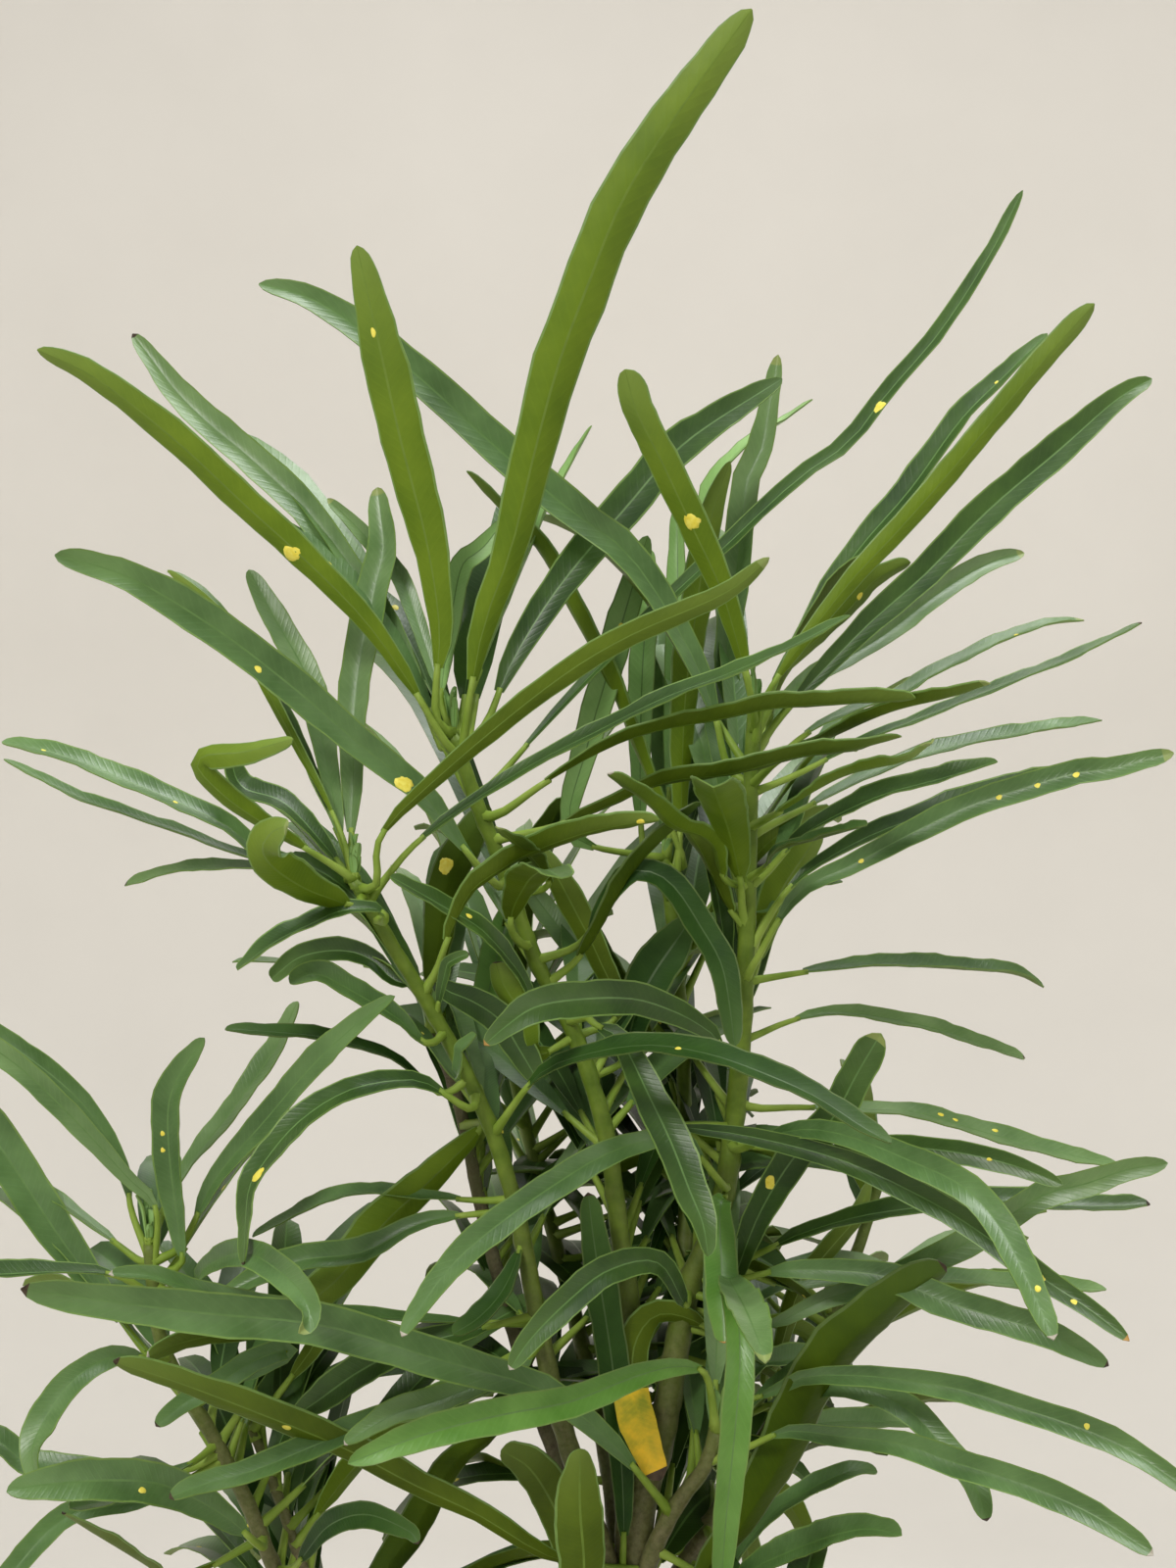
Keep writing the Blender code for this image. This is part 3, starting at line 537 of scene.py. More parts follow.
# Leaves placed one by one, along listed routes. A row has the shoot's letter; the face that
# shows (t top, u underside, y young), its tone and its tip, and k if the tip is blunt; width in mm;
# degrees turned from facing the front, or carried for a curled leaf; depth in mm at foot and tip; then
# across,height in mm along it, and depth if it is curled. s0.5 is a spot halfway, and S a large one.
SHOWN = """
C u1- 12.4 163 -8 -40 -35,579 -35,592 -31,612 -24,631 -18,655 -12,676 -5,694 4,715 19,737 34,757
C u1- 11.5 163 -10 -30 -43,588 -43,597 -42,612 -45,633 -51,657 -56,680 -61,703 s0.80
C u1- 8.0 163 -8 -45 -41,577 -41,583 -49,597 -61,614 -77,630 -88,640 -104,655 -122,669 -135,675 S0.38
C t2b 8.7 17 0 30 -42,581 -45,588 -56,613 -66,626 -79,644 -96,660 -112,674 -127,693
C y1- 6.3 17 -4 -2 -42,592 -42,597 -40,612 -37,628 -32,632 -26,640
C t0- 11.2 17 0 30 -35,582 -31,588 -25,603 -13,623 5,645 21,663 47,681
C t1- 9.5 17 -10 -40 -28,547 -38,559 -46,570 -61,582 -77,596 -95,610 -115,622 -132,627 s0.55 S0.18
C t0- 5.6 40 0 60 -30,572 -15,589 0,605 15,620 31,635 51,654 66,665 75,677 92,697 107,720 117,739 S0.63
C u0- 8.1 118 -8 -40 -27,565 -17,572 -5,579 9,585 25,588 40,591 58,592 73,593
C u0- 8.1 114 -5 -30 -29,558 -16,561 -5,565 14,573 30,575 45,579 59,581 71,584
B u0y 6.0 163 -30 -55 -56,548 -55,560 -40,575 -14,596 4,607 27,617 37,625
B t0- 6.4 58 -25 -35 -57,545 -54,550 -47,558 -35,567 -17,578 -5,584 13,593 29,599 45,606 58,613
B t2- 7.5 17 -15 10 -65,555 -67,560 -70,574 -76,598 -85,614 -93,628
B t2y 8.9 17 -15 15 -64,551 -64,572 -64,597 -60,623 -58,634 -60,650
B t1- 8.1 66 -12 15 -66,557 -68,561 -77,579 -86,595 -96,610 -108,624 -115,628
B u1- 6.2 163 -25 -50 -62,550 -69,554 -80,561 -90,568 -97,575 -98,578.5 -94,579.5 -86,580 -74,583
B t0- 8.1 50 -20 -10 -63,548 -65,551 -71,558 -81,568 -92,572 -95,582
B t1- 8.1 58 -15 -10 -68,551 -86,555 -95,562 -115,571 -138,580 -152,583 s0.87 s0.44
B t1- 6.2 67 -10 20 -70,549 -92,554 -116,562 -138,569 -159,579
B t2b 6.2 72 -12 15 -67,548 -90,551 -111,550 -126,546
B u1y 11.0 163 -32 -68 -61,543 -66,545 -72,548 -78,553 -80,557.5 -77,561.5 -73,563
B t0- 8.1 62 -30 -50 -54,539 -55,542 -64,542 -71,539 -79,535 -87,529
B t0- 6.3 17 -10 10 -49,522 -54,523 -60,528 -68,530 -79,528 -87,522
B t1- 8.1 50 -25 -40 -43,509 -46,510 -52,516 -61,522 -70,527 -76,525
B t3- 6.2 67 -20 -30 -40,496 -44,498 -53,505 -67,510 -81,512 -93,513
B t0b 8.1 50 -25 -60 -34,493 -44,500 -52,501 -63,499 -74,492 -82,482 -84,477 -84,462 S0.72
E t0o 9.0 17 -6 -55 30,503 27,509 22,513 17,516 7,520 -5,521 -17,520 -24,516 -29,512
B t3- 8.1 52 -20 -80 -27,486 -17,502 -5,508 9,511 22,510 33,507 46,502 56,496 62,493 s0.44
B u1- 11.2 163 0 -10 -32,485 -46,471 -56,462 -69,447 -81,439
B t1- 7.5 40 -10 -20 -25,464 -30,465 -46,463 -61,456 -78,454 -96,446
B t1- 6.2 72 -10 10 -31,468 -47,468 -65,468 -79,462 -92,455
A t1- 6.9 17 -20 -40 -108,455 -105,459 -96,476 -84,490 -71,505 -58,517 -51,522
A t2- 8.1 54 -15 0 -111,460 -110,468 -105,477 -94,491 -84,506 -79,517
A t1- 7.7 17 -25 -30 -108,453 -104,456 -105,465 -107,485 -106,498 -98,511 s0.54 s0.47
A t1- 6.0 17 -18 -10 -115,454 -118,466 -121,478 -132,494 -152,509 -170,518
A t2- 6.0 17 -20 -30 -109,450 -111,468 -118,476 -132,492 -148,507 -169,518
A t2- 6.2 72 -15 10 -117,454 -120,456 -130,462 -141,468 -155,473 -178,478
A t1- 11.2 17 -15 0 -113,429 -125,443 -138,459 -154,481 -167,495 -180,502
A t0- 8.1 66 -22 -40 -107,446 -122,453 -147,454 -165,453 -178,449
B t1w 6.2 63 -5 -60 -26,436 -58,442 -76,446 -94,452 -105,458 -115,460
A u0w 7.5 163 -5 -40 -72,436 -91,438 -103,438 -110,436
A t2y 7.5 17 -25 -60 -108,432 -112,433 -119,435 -126,432 -131,426 -134,418 -131,411
A t1- 10.0 17 -25 -70 -85,386 -92,396 -104,407 -115,411 -129,413 -136,413 s0.51
A t1- 8.1 54 -20 -10 -106,403 -135,402 -145,403 -152,408 -167,414
A t1- 6.2 63 -25 -60 -101,407 -106,406 -116,405 -124,406
A t1- 6.0 17 -20 -50 -114,396 -130,396 -141,386 -149,375
A u0b 8.1 130 -25 -50 -106,377 -111,383 -120,393 -128,402
A t1y 7.0 17 -22 -88 -103,448 -97,456 -89,462 -82,464 -74,462 -68,459 -66,455 -68,453
A t3b 6.3 17 -20 -60 -78,379 -75,383 -67,395 -57,401 -46,400 -44,398
E t1b 10.0 17 -10 -90 11,389 5,405 -5,417 -17,427 -31,433 -43,438 -66,448 -93,454 -117,460 -128,463
E u0b 8.0 163 -5 -60 5,374 -13,379 -32,393 -48,403 -64,414 -82,424 -99,433 -114,440 s0.65
E t4- 8.0 17 -20 -100 24,427 16,431 6,431 -9,429 -24,430 -41,430 -56,428
E t0w 7.5 17 -15 -60 19,443 12,456 0,456 -9,451 -18,444 -23,438
C t0- 9.5 17 -10 -50 -5,514 -3,512 3,509 10,496 15,486 19,476 22,469 23,462
E t1w 7.5 17 -5 -70 29,471 18,485 9,485 0,483 -9,479 -25,470 -37,461 -47,448
E t4o 8.5 17 -10 -30 29,468 28,466 28,452 28,437
G u0- 12.4 163 -10 -5 -5,366 -11,385 -19,399 -27,404
G u0- 12.4 163 -20 -25 -7,367 -6,380 -7,395 -7,410
G t3b 8.5 17 -6 -10 4,362 4,385 3,407 1,427 -2,447 -4,461 -5,470
B u3- 8.7 163 0 10 -25,412 -31,405 -40,398 -50,380 -57,370 -62,359
E u1-k 8.3 163 0 -30 38,586 37,592 33,607 28,622 21,636 13,652 7,663 4,673 S0.50
E t1- 10.4 17 8 0 36,572 31,577 27,593 19,611 5,632 -10,643 -30,660 -50,678 -73,695 -89,700
E t0- 8.1 50 5 40 39,583 42,595 57,621 67,635 81,651 95,670 109,684 120,695 s0.83
E u1-k 6.3 163 0 -10 40,581 41,596 60,622 72,635 87,652 101,669 113,683 122,693
E t0- 9.5 17 8 30 41,579 45,590 67,613 83,627 101,645 120,661 136,675 146,681
E t2y 7.0 17 15 58 37,579 47,594 55,601 74,612 93,626 107,634 117,637
E u1- 8.1 126 10 20 41,583 46,601 64,619 70,626 80,631 s0.71
E t1y 8.1 66 5 40 40,572 54,587 77,596 84,600 100,608 117,615 130,617 s0.76
E t0b 6.2 63 5 20 40,570 49,575 67,584 83,590 103,598 123,606 141,615
E u0y 8.1 116 0 -50 39,572 44,579 55,584 68,590 80,593 89,596
E u1y 8.1 122 0 -60 39,562 44,566 51,571 58,575 69,578 74,582
E t1- 8.1 64 8 50 41,560 51,566 75,577 96,583 118,587 137,590
E t0- 8.1 62 5 -20 38,546 41,550 48,558 57,564 70,570 84,574 96,578
E t3- 6.2 72 5 -60 37,547 40,552 42,556 49,559 59,563
E t1y 6.9 17 0 -30 36,522 38,528 48,545 61,552 79,562 92,568 114,575 122,576 137,580 s0.25 s0.60 s0.69 s0.78
E t0- 8.1 54 5 0 37,528 47,546 63,557 80,564 98,570 115,574 132,578
E t1- 8.1 66 5 30 36,521 38,522 54,524 73,525 88,524 108,522 117,518
E t2b 6.2 63 5 30 35,507 39,508 47,511 58,513 73,511 89,507 100,503 112,499
E t0yk 8.7 17 10 -30 30,434 31,438 34,450 39,465 47,480 55,489 61,502 66,512 S0.40
E t2b 8.1 58 5 20 34,490 38,489 50,489 66,488 80,487 93,483 110,478 125,474 135,472 s0.59 s0.41 s0.46
E t0- 6.0 17 0 -40 33,481 45,480 55,480 68,483 82,483 91,482 100,480 108,477 s0.74
E t0o 6.5 17 -5 -70 17,486 35,485 57,481 77,473 89,466 99,459 109,453 117,447 S0.80 s0.88
E t1w 7.5 17 -5 -90 33,480 43,486 51,488 60,487 70,484 81,480 87,474 91,466 96,452 s0.88
E t2- 7.2 17 0 -20 41,434 45,436 56,442 70,447 84,454 94,460 108,470 118,473 128,477 138,479
E t0b 8.1 58 5 -10 32,449 41,453 49,457 64,462 81,465 99,467 119,466 136,467
E t2- 8.1 66 10 40 46,442 59,442 89,441 103,439 119,437 136,435
E t1b 8.0 17 0 -40 29,445 35,447 45,450 61,451 71,450 81,446 94,443 106,440 119,434
G u3b 14.5 163 -10 -22 17,366 23,374 33,387 43,404 53,426 63,438 73,447 83,454
E u0- 5.8 163 25 50 42,416 45,418 52,436 61,446 69,454 73,463
G t1- 6.4 17 -5 -80 30,414 41,421 48,426 57,428 67,429 82,429 94,427 105,425 116,422 127,416 138,410 s0.70
G t1w 6.8 17 -10 -80 28,403 35,408 44,414 56,415 69,416 80,414 95,412 106,409 113,406 120,402
G t1b 6.9 17 -5 -40 40,415 53,422 64,423 74,419 81,412 87,406 90,397
G t1- 7.0 72 0 10 30,372 35,377 42,385 53,391 64,395 70,394
G t1- 8.1 50 -10 -60 31,371 36,379 43,386 52,394 60,399 67,400
G t2- 8.1 66 15 40 44,403 62,403 82,400 91,397
E t1- 8.1 50 10 40 36,420 41,421 55,419 67,414
F t2y 8.0 17 40 55 22,575 35,592 33,605 36,631 39,657 43,665 48,692
F u1- 8.7 163 35 30 19,542 19,547 20,564 21,594 24,619 28,644 33,659
F y1- 8.1 58 50 70 28,646 36,664 50,675 59,682
F y1- 6.2 63 30 40 -16,646 -13,652 -4,670
F u1- 8.1 126 35 20 21,551 11,575 0,601 -12,624 -18,635 -27,644 -37,655
F y1- 7.5 17 48 60 10,556 10,600 13,638
F y1- 6.0 17 50 60 19,600 20,622 20,650
F y1- 8.5 17 30 30 -9,559 -5,583 0,601 6,622 11,639 s0.68 s0.72
C u3- 8.1 126 20 25 12,505 5,518 -5,534 -10,544 -15,551
C u3- 8.1 114 -4 -16 -11,523 -7,529 1,542 7,552 17,562 23,568
C u0- 7.4 163 8 14 3,513 -2,527 -8,539 -14,550 -19,557
B u0- 8.1 128 -20 -40 -44,521 -42,527 -40,533 -34,546 -26,552 -21,555 -14,558 -5,561 4,563 12,564 s0.93
C u3- 10.0 163 10 16 -46,518 -44,531 -42,546 -37,557 -31,567 S0.62
F t4- 8.6 17 30 45 -32,504 -33,508 -31,520 -28,532 -24,543
F t2- 7.2 17 22 30 -2,523 -8,529 -15,537 -21,545
C t0- 6.9 50 -8 -30 -18,516 -21,523 -25,529 -32,537 -40,542 -48,547 -53,550 s0.55
C u1b 8.0 163 -6 -12 -19,504 -22,515 -26,522 -28,528
B u0b 3.0 17 -22 -26 -41,515 -41,522 -40,526 -39,529 -34,531
B u1- 4.2 62 -26 -32 -37,501 -36,505 -36,508 -34,510 -32,512
B t0- 8.6 17 -12 -6 -44,524 -41,521 -34,518 -27,513 -22,505 -18,498
E u1w 8.1 122 0 -36 33,546 30,548 28,553 27,557 23,560 17,562 11,567 6,571 3,573 0,575
C t3- 7.5 17 -4 -22 -7,532 -1,542 5,550 9,551 14,549 18,545 23,537 28,528 30,517 31,508
C t3b 12.0 17 6 10 4,501 6,509 9,518 13,525 18,532 22,538
E t0- 7.0 40 10 4 33,519 31,528 29,539 27,550 25,558
E u0- 8.1 122 5 -6 35,535 31,541 27,549 23,557 19,562
E u1- 10.0 163 12 25 38,525 41,532 45,543 51,552 57,560
C u0- 11.5 carried 0 0 -19.2,531.1,-2 -22.1,532.2,-6 -24.4,536.1,-10 -23.8,541.2,-14 -21.1,546.6,-25
  -18.3,550.6,-40 -15.0,552.5,-55 -11.0,551.2,-68
E u1- 12.0 carried 0 0 35.3,534.8,4 34.4,541.1,2 33.9,547.1,-2 31.9,554.8,-10 29.2,562.4,-22 26.1,568.5,-38
  24.2,571.6,-52 23.5,571.8,-66
C t0y 7.5 carried 0 0 -14.9,546.5,-6 -15.8,549.6,-9 -17.7,553.0,-16 -20.2,556.4,-30 -23.1,559.5,-44
  -25.9,562.3,-54
B t3- 7.5 48 -8 -25 -19,464 -22,456 -26,447 -32,441 -38,438
A t1b 6.0 17 -20 -45 -78,433 -86,432 -94,428 -101,425 -107,421
B t0- 9.0 30 -15 -5 -44,434 -54,430 -64,424 -73,417 -80,412
B t1b 7.2 40 -18 -55 -24,431 -41,424 -57,419 -70,415 -83,411 -95,409 -102,407
B t2w 7.2 40 -25 -50 -22,430 -40,425 -51,423 -62,418
B u1- 3.4 163 -18 10 -66,560 -71,570 -78,582 -85,594 -91,605 -97,613 -105,621 -114,628
C t2y 5.0 17 12 14 -52,622 -57,630 -64,638 -69,643 -73,647
G t4- 6.8 carried 0 0 29.2,441.1,-5 29.0,447.4,-25 29.0,451.8,-48 29.3,450.3,-62 29.4,442.8,-68
  28.4,431.7,-72 27.1,418.5,-72 26.1,406.9,-70 25.4,395.2,-68 24.8,383.4,-66
G t2y 8.8 carried 0 0 30.3,448.3,-4 29.4,451.9,-30 29.5,454.4,-55 29.7,456.4,-80 30.0,457.1,-100
  30.5,456.4,-113 31.2,454.3,-120
E u0f 9.6 163 0 -14 28,432 20,437 12,438 7,432 6,424 7,415 10,406 13,399
"""


class BladeBlank:
    """A flat strip given a wall, its faces marked top, under, rib or edge. Rows crowd its tip."""

    def __init__(self, columns, rows):
        blank = bmesh.new()
        count = len(columns) - 1
        bmesh.ops.create_grid(blank, x_segments=count, y_segments=rows, size=1.0)
        for vert in blank.verts:
            vert.co.x = columns[round((vert.co.x + 1) / 2 * count)]
            vert.co.y = 1 - (0.5 - vert.co.y / 2) ** 1.45
        for face in blank.faces:
            middle = abs(face.calc_center_median().x)
            face.material_index = RIB if middle < 0.03 else EDGE if middle > 0.93 else TOP
        uv = blank.loops.layers.uv.new("UVMap")
        bmesh.ops.solidify(blank, geom=blank.faces[:], thickness=0.5)
        middle = sum(v.co.z for v in blank.verts) / len(blank.verts)
        for vert in blank.verts:
            vert.co.z = math.copysign(0.5, vert.co.z - middle)
        for face in blank.faces:
            heights = {v.co.z for v in face.verts}
            if len(heights) > 1:
                face.material_index = EDGE
            elif heights == {-0.5}:
                face.material_index = UNDER_OF.get(face.material_index, face.material_index)
            face.smooth = True
            for loop in face.loops:
                loop[uv].uv = ((loop.vert.co.x + 1) / 2, loop.vert.co.y)
        for edge in blank.edges:
            edge.smooth = not any(f.material_index == EDGE for f in edge.link_faces)
        self.mesh = finished_mesh("blade_blank", blank)
        self.across, self.along, self.level = blank_points(self.mesh).T
        self.marks = np.empty(len(self.mesh.polygons), int)
        self.mesh.polygons.foreach_get("material_index", self.marks)
        self.starts = np.array([min(self.along[i] for i in p.vertices) for p in self.mesh.polygons])


fine_blank = BladeBlank((-1.0, -0.91, -0.45, -0.05, 0.05, 0.45, 0.91, 1.0), 26)
plain_blank = BladeBlank((-1.0, -0.06, 0.06, 1.0), 11)
stalk_blank = tube_template(6, STALK_ROWS)


def outline(share, point):
    """A blade's half width along its length. It widens to its upper third, then narrows by point."""
    foot = np.clip(share / 0.56, 0, 1)
    taper = np.clip((share - 0.66) / 0.34, 0, 1)
    round_from = 0.925 + 0.05 * point
    end = np.clip((share - round_from) / (1 - round_from), 0, 0.998)
    body = (0.46 + 0.54 * np.sin(foot * math.pi / 2) ** 1.15) * (1 - 0.5 * np.exp(-share * 34))
    return body * (1 - point * taper**1.9) * np.sqrt(1 - end**2)


class Blade:
    """A blade bent along a line. Says where a point of it lies, by its place across, along and above."""

    def __init__(self, line, normals, width, fold, rng, point=None):
        along = tangents(line)
        run = run_along(line)
        self.length, self.width, self.fold = run[-1], width, fold
        self.shares = run / run[-1]
        self.axes = np.concatenate([line, np.cross(along, normals), normals], axis=1)
        self.waves = rng.uniform(0, 6.28, 6)
        self.point = rng.uniform(0.36, 0.76) if point is None else point

    def at(self, across, along, level):
        axes = np.array([np.interp(along, self.shares, column) for column in self.axes.T]).T
        run = along * self.length * 1000
        side = np.where(across > 0, 0, 3)
        first, second, third = (self.waves[side + k] for k in range(3))
        uneven = (0.025 * np.sin(run * 0.52 + first) + 0.015 * np.sin(run * 1.13 + second)
                  + 0.030 * np.sin(run * 0.19 + third))
        half = self.width / 2 * outline(along, self.point) * (1 + uneven)
        ripple = 0.00026 * np.sin(run * 0.30 + second) + 0.00014 * np.sin(run * 0.8 + first)
        ripple = ripple * np.abs(across) * np.minimum(1, half / 0.003)
        height = self.fold * half * np.abs(across) ** 1.4 + ripple + level
        return axes[:, :3] + axes[:, 3:6] * (across * half)[:, None] + axes[:, 6:] * height[:, None]

    def add_to(self, work, blank, slots, ends):
        """Stamps the blade into a piece. slots has the finish of each kind of face, ends its tip's."""
        finishes = np.array(slots)[blank.marks]
        for start, finish in ends:
            finishes[blank.starts > start] = SLOT[finish]
        stamp(work, blank.mesh, self.at(blank.across, blank.along, blank.level * BLADE_THICK), finishes)


def facing_normals(line, degrees, twist, up_side):
    """Unit normals of the upper face, turned by so many degrees from facing the front."""
    along = tangents(line)
    flat = unit_rows(np.array((-along[:, 2], np.zeros(len(line)), along[:, 0])).T * up_side)
    turn = np.radians(degrees + twist * np.linspace(-1, 1, len(line)))[:, None]
    normal = np.cos(turn) * np.array((0, -1.0, 0)) + np.sin(turn) * flat
    normal -= along * (normal * along).sum(axis=1)[:, None]
    return unit_rows(normal)


def curled_normals(line):
    return carried((0, 0, 1), tangents(line))


def add_stalk(work, line, radius):
    def radius_at(share, run, turn):
        return radius * (1.25 - 0.45 * share + 0.5 * np.exp(-share * 9))

    stamp(work, stalk_blank, bend_tube(stalk_blank, line, radius_at, (0.3, 0.2, 1.0)))


TOP_TIP, UNDER_TIP = (0.150, 0.260, 0.070), (0.235, 0.335, 0.080)


def leaf_green(name, dark, light, rough, gloss=0.5, tip=TOP_TIP, tip_share=0.35, cloud_scale=55):
    """A blade's face: cloudy, paler to its tip, with faint slanting side veins and a fine grain."""
    finish = Finish(name, light, rough, Specular_IOR_Level=gloss)
    across = finish.node("SeparateXYZ", out=0, Vector=finish.here("UV"))
    along = finish.node("SeparateXYZ", out=1, Vector=finish.here("UV"))
    slant = finish.node("Math", {"operation": "ABSOLUTE"}, Value=across - 0.5)
    veins = finish.node("Math", {"operation": "SINE"}, Value=(along - slant * VEIN_SLANT) * VEINS)
    veins = (veins * 0.5 + 0.5) ** 6
    cloud = finish.ramp(finish.noise(cloud_scale, 4, 0.55), (0.32, dark), (0.68, light))
    pale = tuple(min(1.0, c * 1.35 + 0.005) for c in light)
    green = finish.mix(along**5 * tip_share, cloud, tip)
    finish.set("Base Color", finish.mix(veins * 0.07, green, pale))
    finish.set("Roughness", finish.noise(240, 2) * 0.16 + (rough - 0.08))
    finish.relief(veins * 0.4 + finish.noise(600, 3, 0.6), 0.14, 0.0004)
    return finish


# dark and light of the clouds, roughness, gloss, colour of the tip, how much it shows, cloud scale
FACES = {
    "leaf_top_deep": ((0.020, 0.056, 0.008), (0.054, 0.120, 0.018), 0.36, 0.38),
    "leaf_top": ((0.052, 0.121, 0.027), (0.121, 0.231, 0.070), 0.34, 0.45),
    "leaf_top_light": ((0.082, 0.168, 0.045), (0.176, 0.290, 0.106), 0.35, 0.45),
    # The shaded top and shaded underside here are darker copies of the faces: painted shade for leaves deep
    # in the crown.
    "leaf_top_painted_shade": ((0.011, 0.042, 0.005), (0.031, 0.085, 0.010), 0.5, 0.18),
    # A lighter copy of the top: painted light for leaves that light shines through.
    "leaf_top_bright": ((0.078, 0.205, 0.022), (0.140, 0.300, 0.052), 0.35, 0.4),
    "leaf_under_olive": ((0.061, 0.102, 0.002), (0.099, 0.154, 0.005), 0.55, 0.22, UNDER_TIP, 0.45),
    "leaf_under": ((0.089, 0.160, 0.004), (0.147, 0.232, 0.010), 0.55, 0.22, UNDER_TIP, 0.6),
    "leaf_under_painted_shade": ((0.036, 0.068, 0.001), (0.062, 0.106, 0.002), 0.6, 0.12),
    "leaf_young": ((0.175, 0.350, 0.080), (0.285, 0.490, 0.160), 0.45),
    "leaf_yellowed": ((0.24, 0.30, 0.010), (0.92, 0.60, 0.020), 0.5, 0.4, (0.8, 0.42, 0.02), 0.6, 150),
}
# dark and light, roughness, scale
TRIMS = {
    "midrib": ((0.092, 0.190, 0.044), (0.118, 0.230, 0.060), 0.42, 300),
    "midrib_under": ((0.112, 0.190, 0.011), (0.144, 0.234, 0.017), 0.5, 300),
    # The shaded rib and shaded margin here are darker copies of the trims: painted shade.
    "midrib_painted_shade": ((0.043, 0.098, 0.019), (0.057, 0.122, 0.025), 0.45, 300),
    "leaf_margin": ((0.130, 0.232, 0.042), (0.170, 0.288, 0.058), 0.5, 300),
    "leaf_margin_painted_shade": ((0.064, 0.114, 0.017), (0.086, 0.146, 0.023), 0.5, 300),
    "dry_tip_white": ((0.36, 0.33, 0.26), (0.58, 0.55, 0.47), 0.8, 600),
    "dry_tip_brown": ((0.035, 0.022, 0.013), (0.085, 0.056, 0.032), 0.85, 600),
    "dry_tip_orange": ((0.34, 0.18, 0.04), (0.50, 0.30, 0.08), 0.7, 600),
    "pale_tip": ((0.190, 0.272, 0.070), (0.270, 0.328, 0.090), 0.5, 400),
}
LEAF_FINISHES = ([leaf_green(name, *values) for name, values in FACES.items()]
                 + [mottled(name, *values) for name, values in TRIMS.items()])
SLOT = {name: number for number, name in enumerate([*FACES, *TRIMS])}
# Finishes of the top, underside, rib, rib below and edge, by tone: deep, usual, light, shaded, lit.
# The shaded tone is painted shade for leaves deep in the crown. The lit tone is a top painted lighter:
# painted light for leaves that light shines through.
LIT = ("midrib", "midrib_under", "leaf_margin")
TONES = (
    ("leaf_top_deep", "leaf_under_olive", *LIT),
    ("leaf_top", "leaf_under", *LIT),
    ("leaf_top_light", "leaf_under", *LIT),
    ("leaf_top_painted_shade", "leaf_under_painted_shade", "midrib_painted_shade", "leaf_under_painted_shade", "leaf_margin_painted_shade"),
    ("leaf_top_bright", "leaf_under", *LIT),
)
YOUNG = ("leaf_young", "leaf_young", *LIT)
# Finishes that take over from a share of the blade's length on: dry, pale or yellowing ends.
TIPS = {
    "-": (), "w": ((0.981, "dry_tip_white"),), "b": ((0.978, "dry_tip_brown"),),
    "o": ((0.982, "dry_tip_orange"),), "y": ((0.965, "pale_tip"),),
    "f": ((0.56, "leaf_yellowed"), (0.955, "dry_tip_brown"))}


def leaf_slots(face, tone):
    """The numbers of the finishes that a leaf takes: those of a young leaf, or those of its tone."""
    return [SLOT[name] for name in (YOUNG if face == "y" else TONES[tone])]


LEAF_GROUPS = {"leaves_left": "AB", "leaves_centre": "C", "leaves_right": "EG", "leaves_back": "FH"}
leaf_work = {name: bmesh.new() for name in LEAF_GROUPS}
group_of = {letter: name for name, letters in LEAF_GROUPS.items() for letter in letters}
stalk_work = bmesh.new()
spot_places = []
seen_lines, seen_blades = [], []
all_limb_points = np.concatenate(list(limb_lines.values()))


def grow_leaf(letter, line, normals_for, width, slots, ends, fold, rng,
              stalk=None, blank=fine_blank, point=None):
    """Splits a line into stalk and blade, makes both, and returns the blade."""
    run = run_along(line)
    stalk = stalk or min(LONG_STALK, 0.19 * run[-1])
    stalk_line = points_at(line, run, np.linspace(0, stalk + 0.001, STALK_ROWS + 1))
    add_stalk(stalk_work, stalk_line, STALK_R * min(1.0, 0.55 + width * 50))
    body = points_at(line, run, np.linspace(stalk, run[-1], BLADE_STEPS + 1))
    blade = Blade(body, normals_for(body), width, fold, rng, point)
    blade.add_to(leaf_work[group_of[letter]], blank, slots, ends)
    return blade


for number, row in enumerate(SHOWN.replace("\n  ", " ").strip().splitlines()):
    letter, code, width, turn, foot_depth, tip_depth, *rest = row.split()
    marks = [(float(word[1:]), word[0] == "S") for word in rest if word[0] in "sS"]
    flat = np.array([[float(c) for c in word.split(",")] for word in rest if word[0] not in "sS"])
    steps = run_along(flat)
    depth = float(foot_depth) + (float(tip_depth) - float(foot_depth)) * steps / steps[-1]
    depth = flat[:, 2] if turn == "carried" else depth
    path = np.array((flat[:, 0], depth, flat[:, 1])).T / 1000
    nearest = all_limb_points[np.linalg.norm(all_limb_points - path[0], axis=1).argmin()]
    gap = np.linalg.norm(nearest - path[0])
    path = np.concatenate([[nearest], path[1:] if gap < 0.006 else path])
    line = curve_points(path, 0.003)
    rng = np.random.default_rng(500 + number)
    twist = rng.uniform(-9, 9)
    if turn == "carried":
        normals_for = curled_normals
    else:
        up_side = 1.0 if flat[-1, 0] >= flat[0, 0] else -1.0
        normals_for = functools.partial(
            facing_normals, degrees=float(turn) + rng.uniform(-6, 6), twist=twist, up_side=up_side)
    blade = grow_leaf(letter, line, normals_for, float(width) / 1000, leaf_slots(code[0], int(code[1])),
                      TIPS[code[2]], rng.uniform(0.24, 0.50), rng, point=BLUNT if code[3:] else None)
    seen_lines.append(line)
    seen_blades.append(blade)
    for share, large in marks:
        spot_places.append((blade, min(0.95, share), large, 600 + number))

# --- Leaves grown by rule --------------------------------------------------------------------
# The rest of the crown follows the shoots' own rule: one leaf to a node, a golden turn on from the
# last, steep and long near the tip, lower and drooping further down. A leaf that would close a gap
# open to the front is left out.
CELL, CELLS = 0.0014, 360
VIEW_HALF_W, VIEW_HALF_H = 0.150, 0.200
# Where the crown is closed right through, seen from the front: across from, to, height from, to.
HEARTS = (
    (-0.030, 0.036, -0.200, -0.066), (0.012, 0.040, -0.02, 0.055), (-0.118, -0.062, -0.200, -0.128))
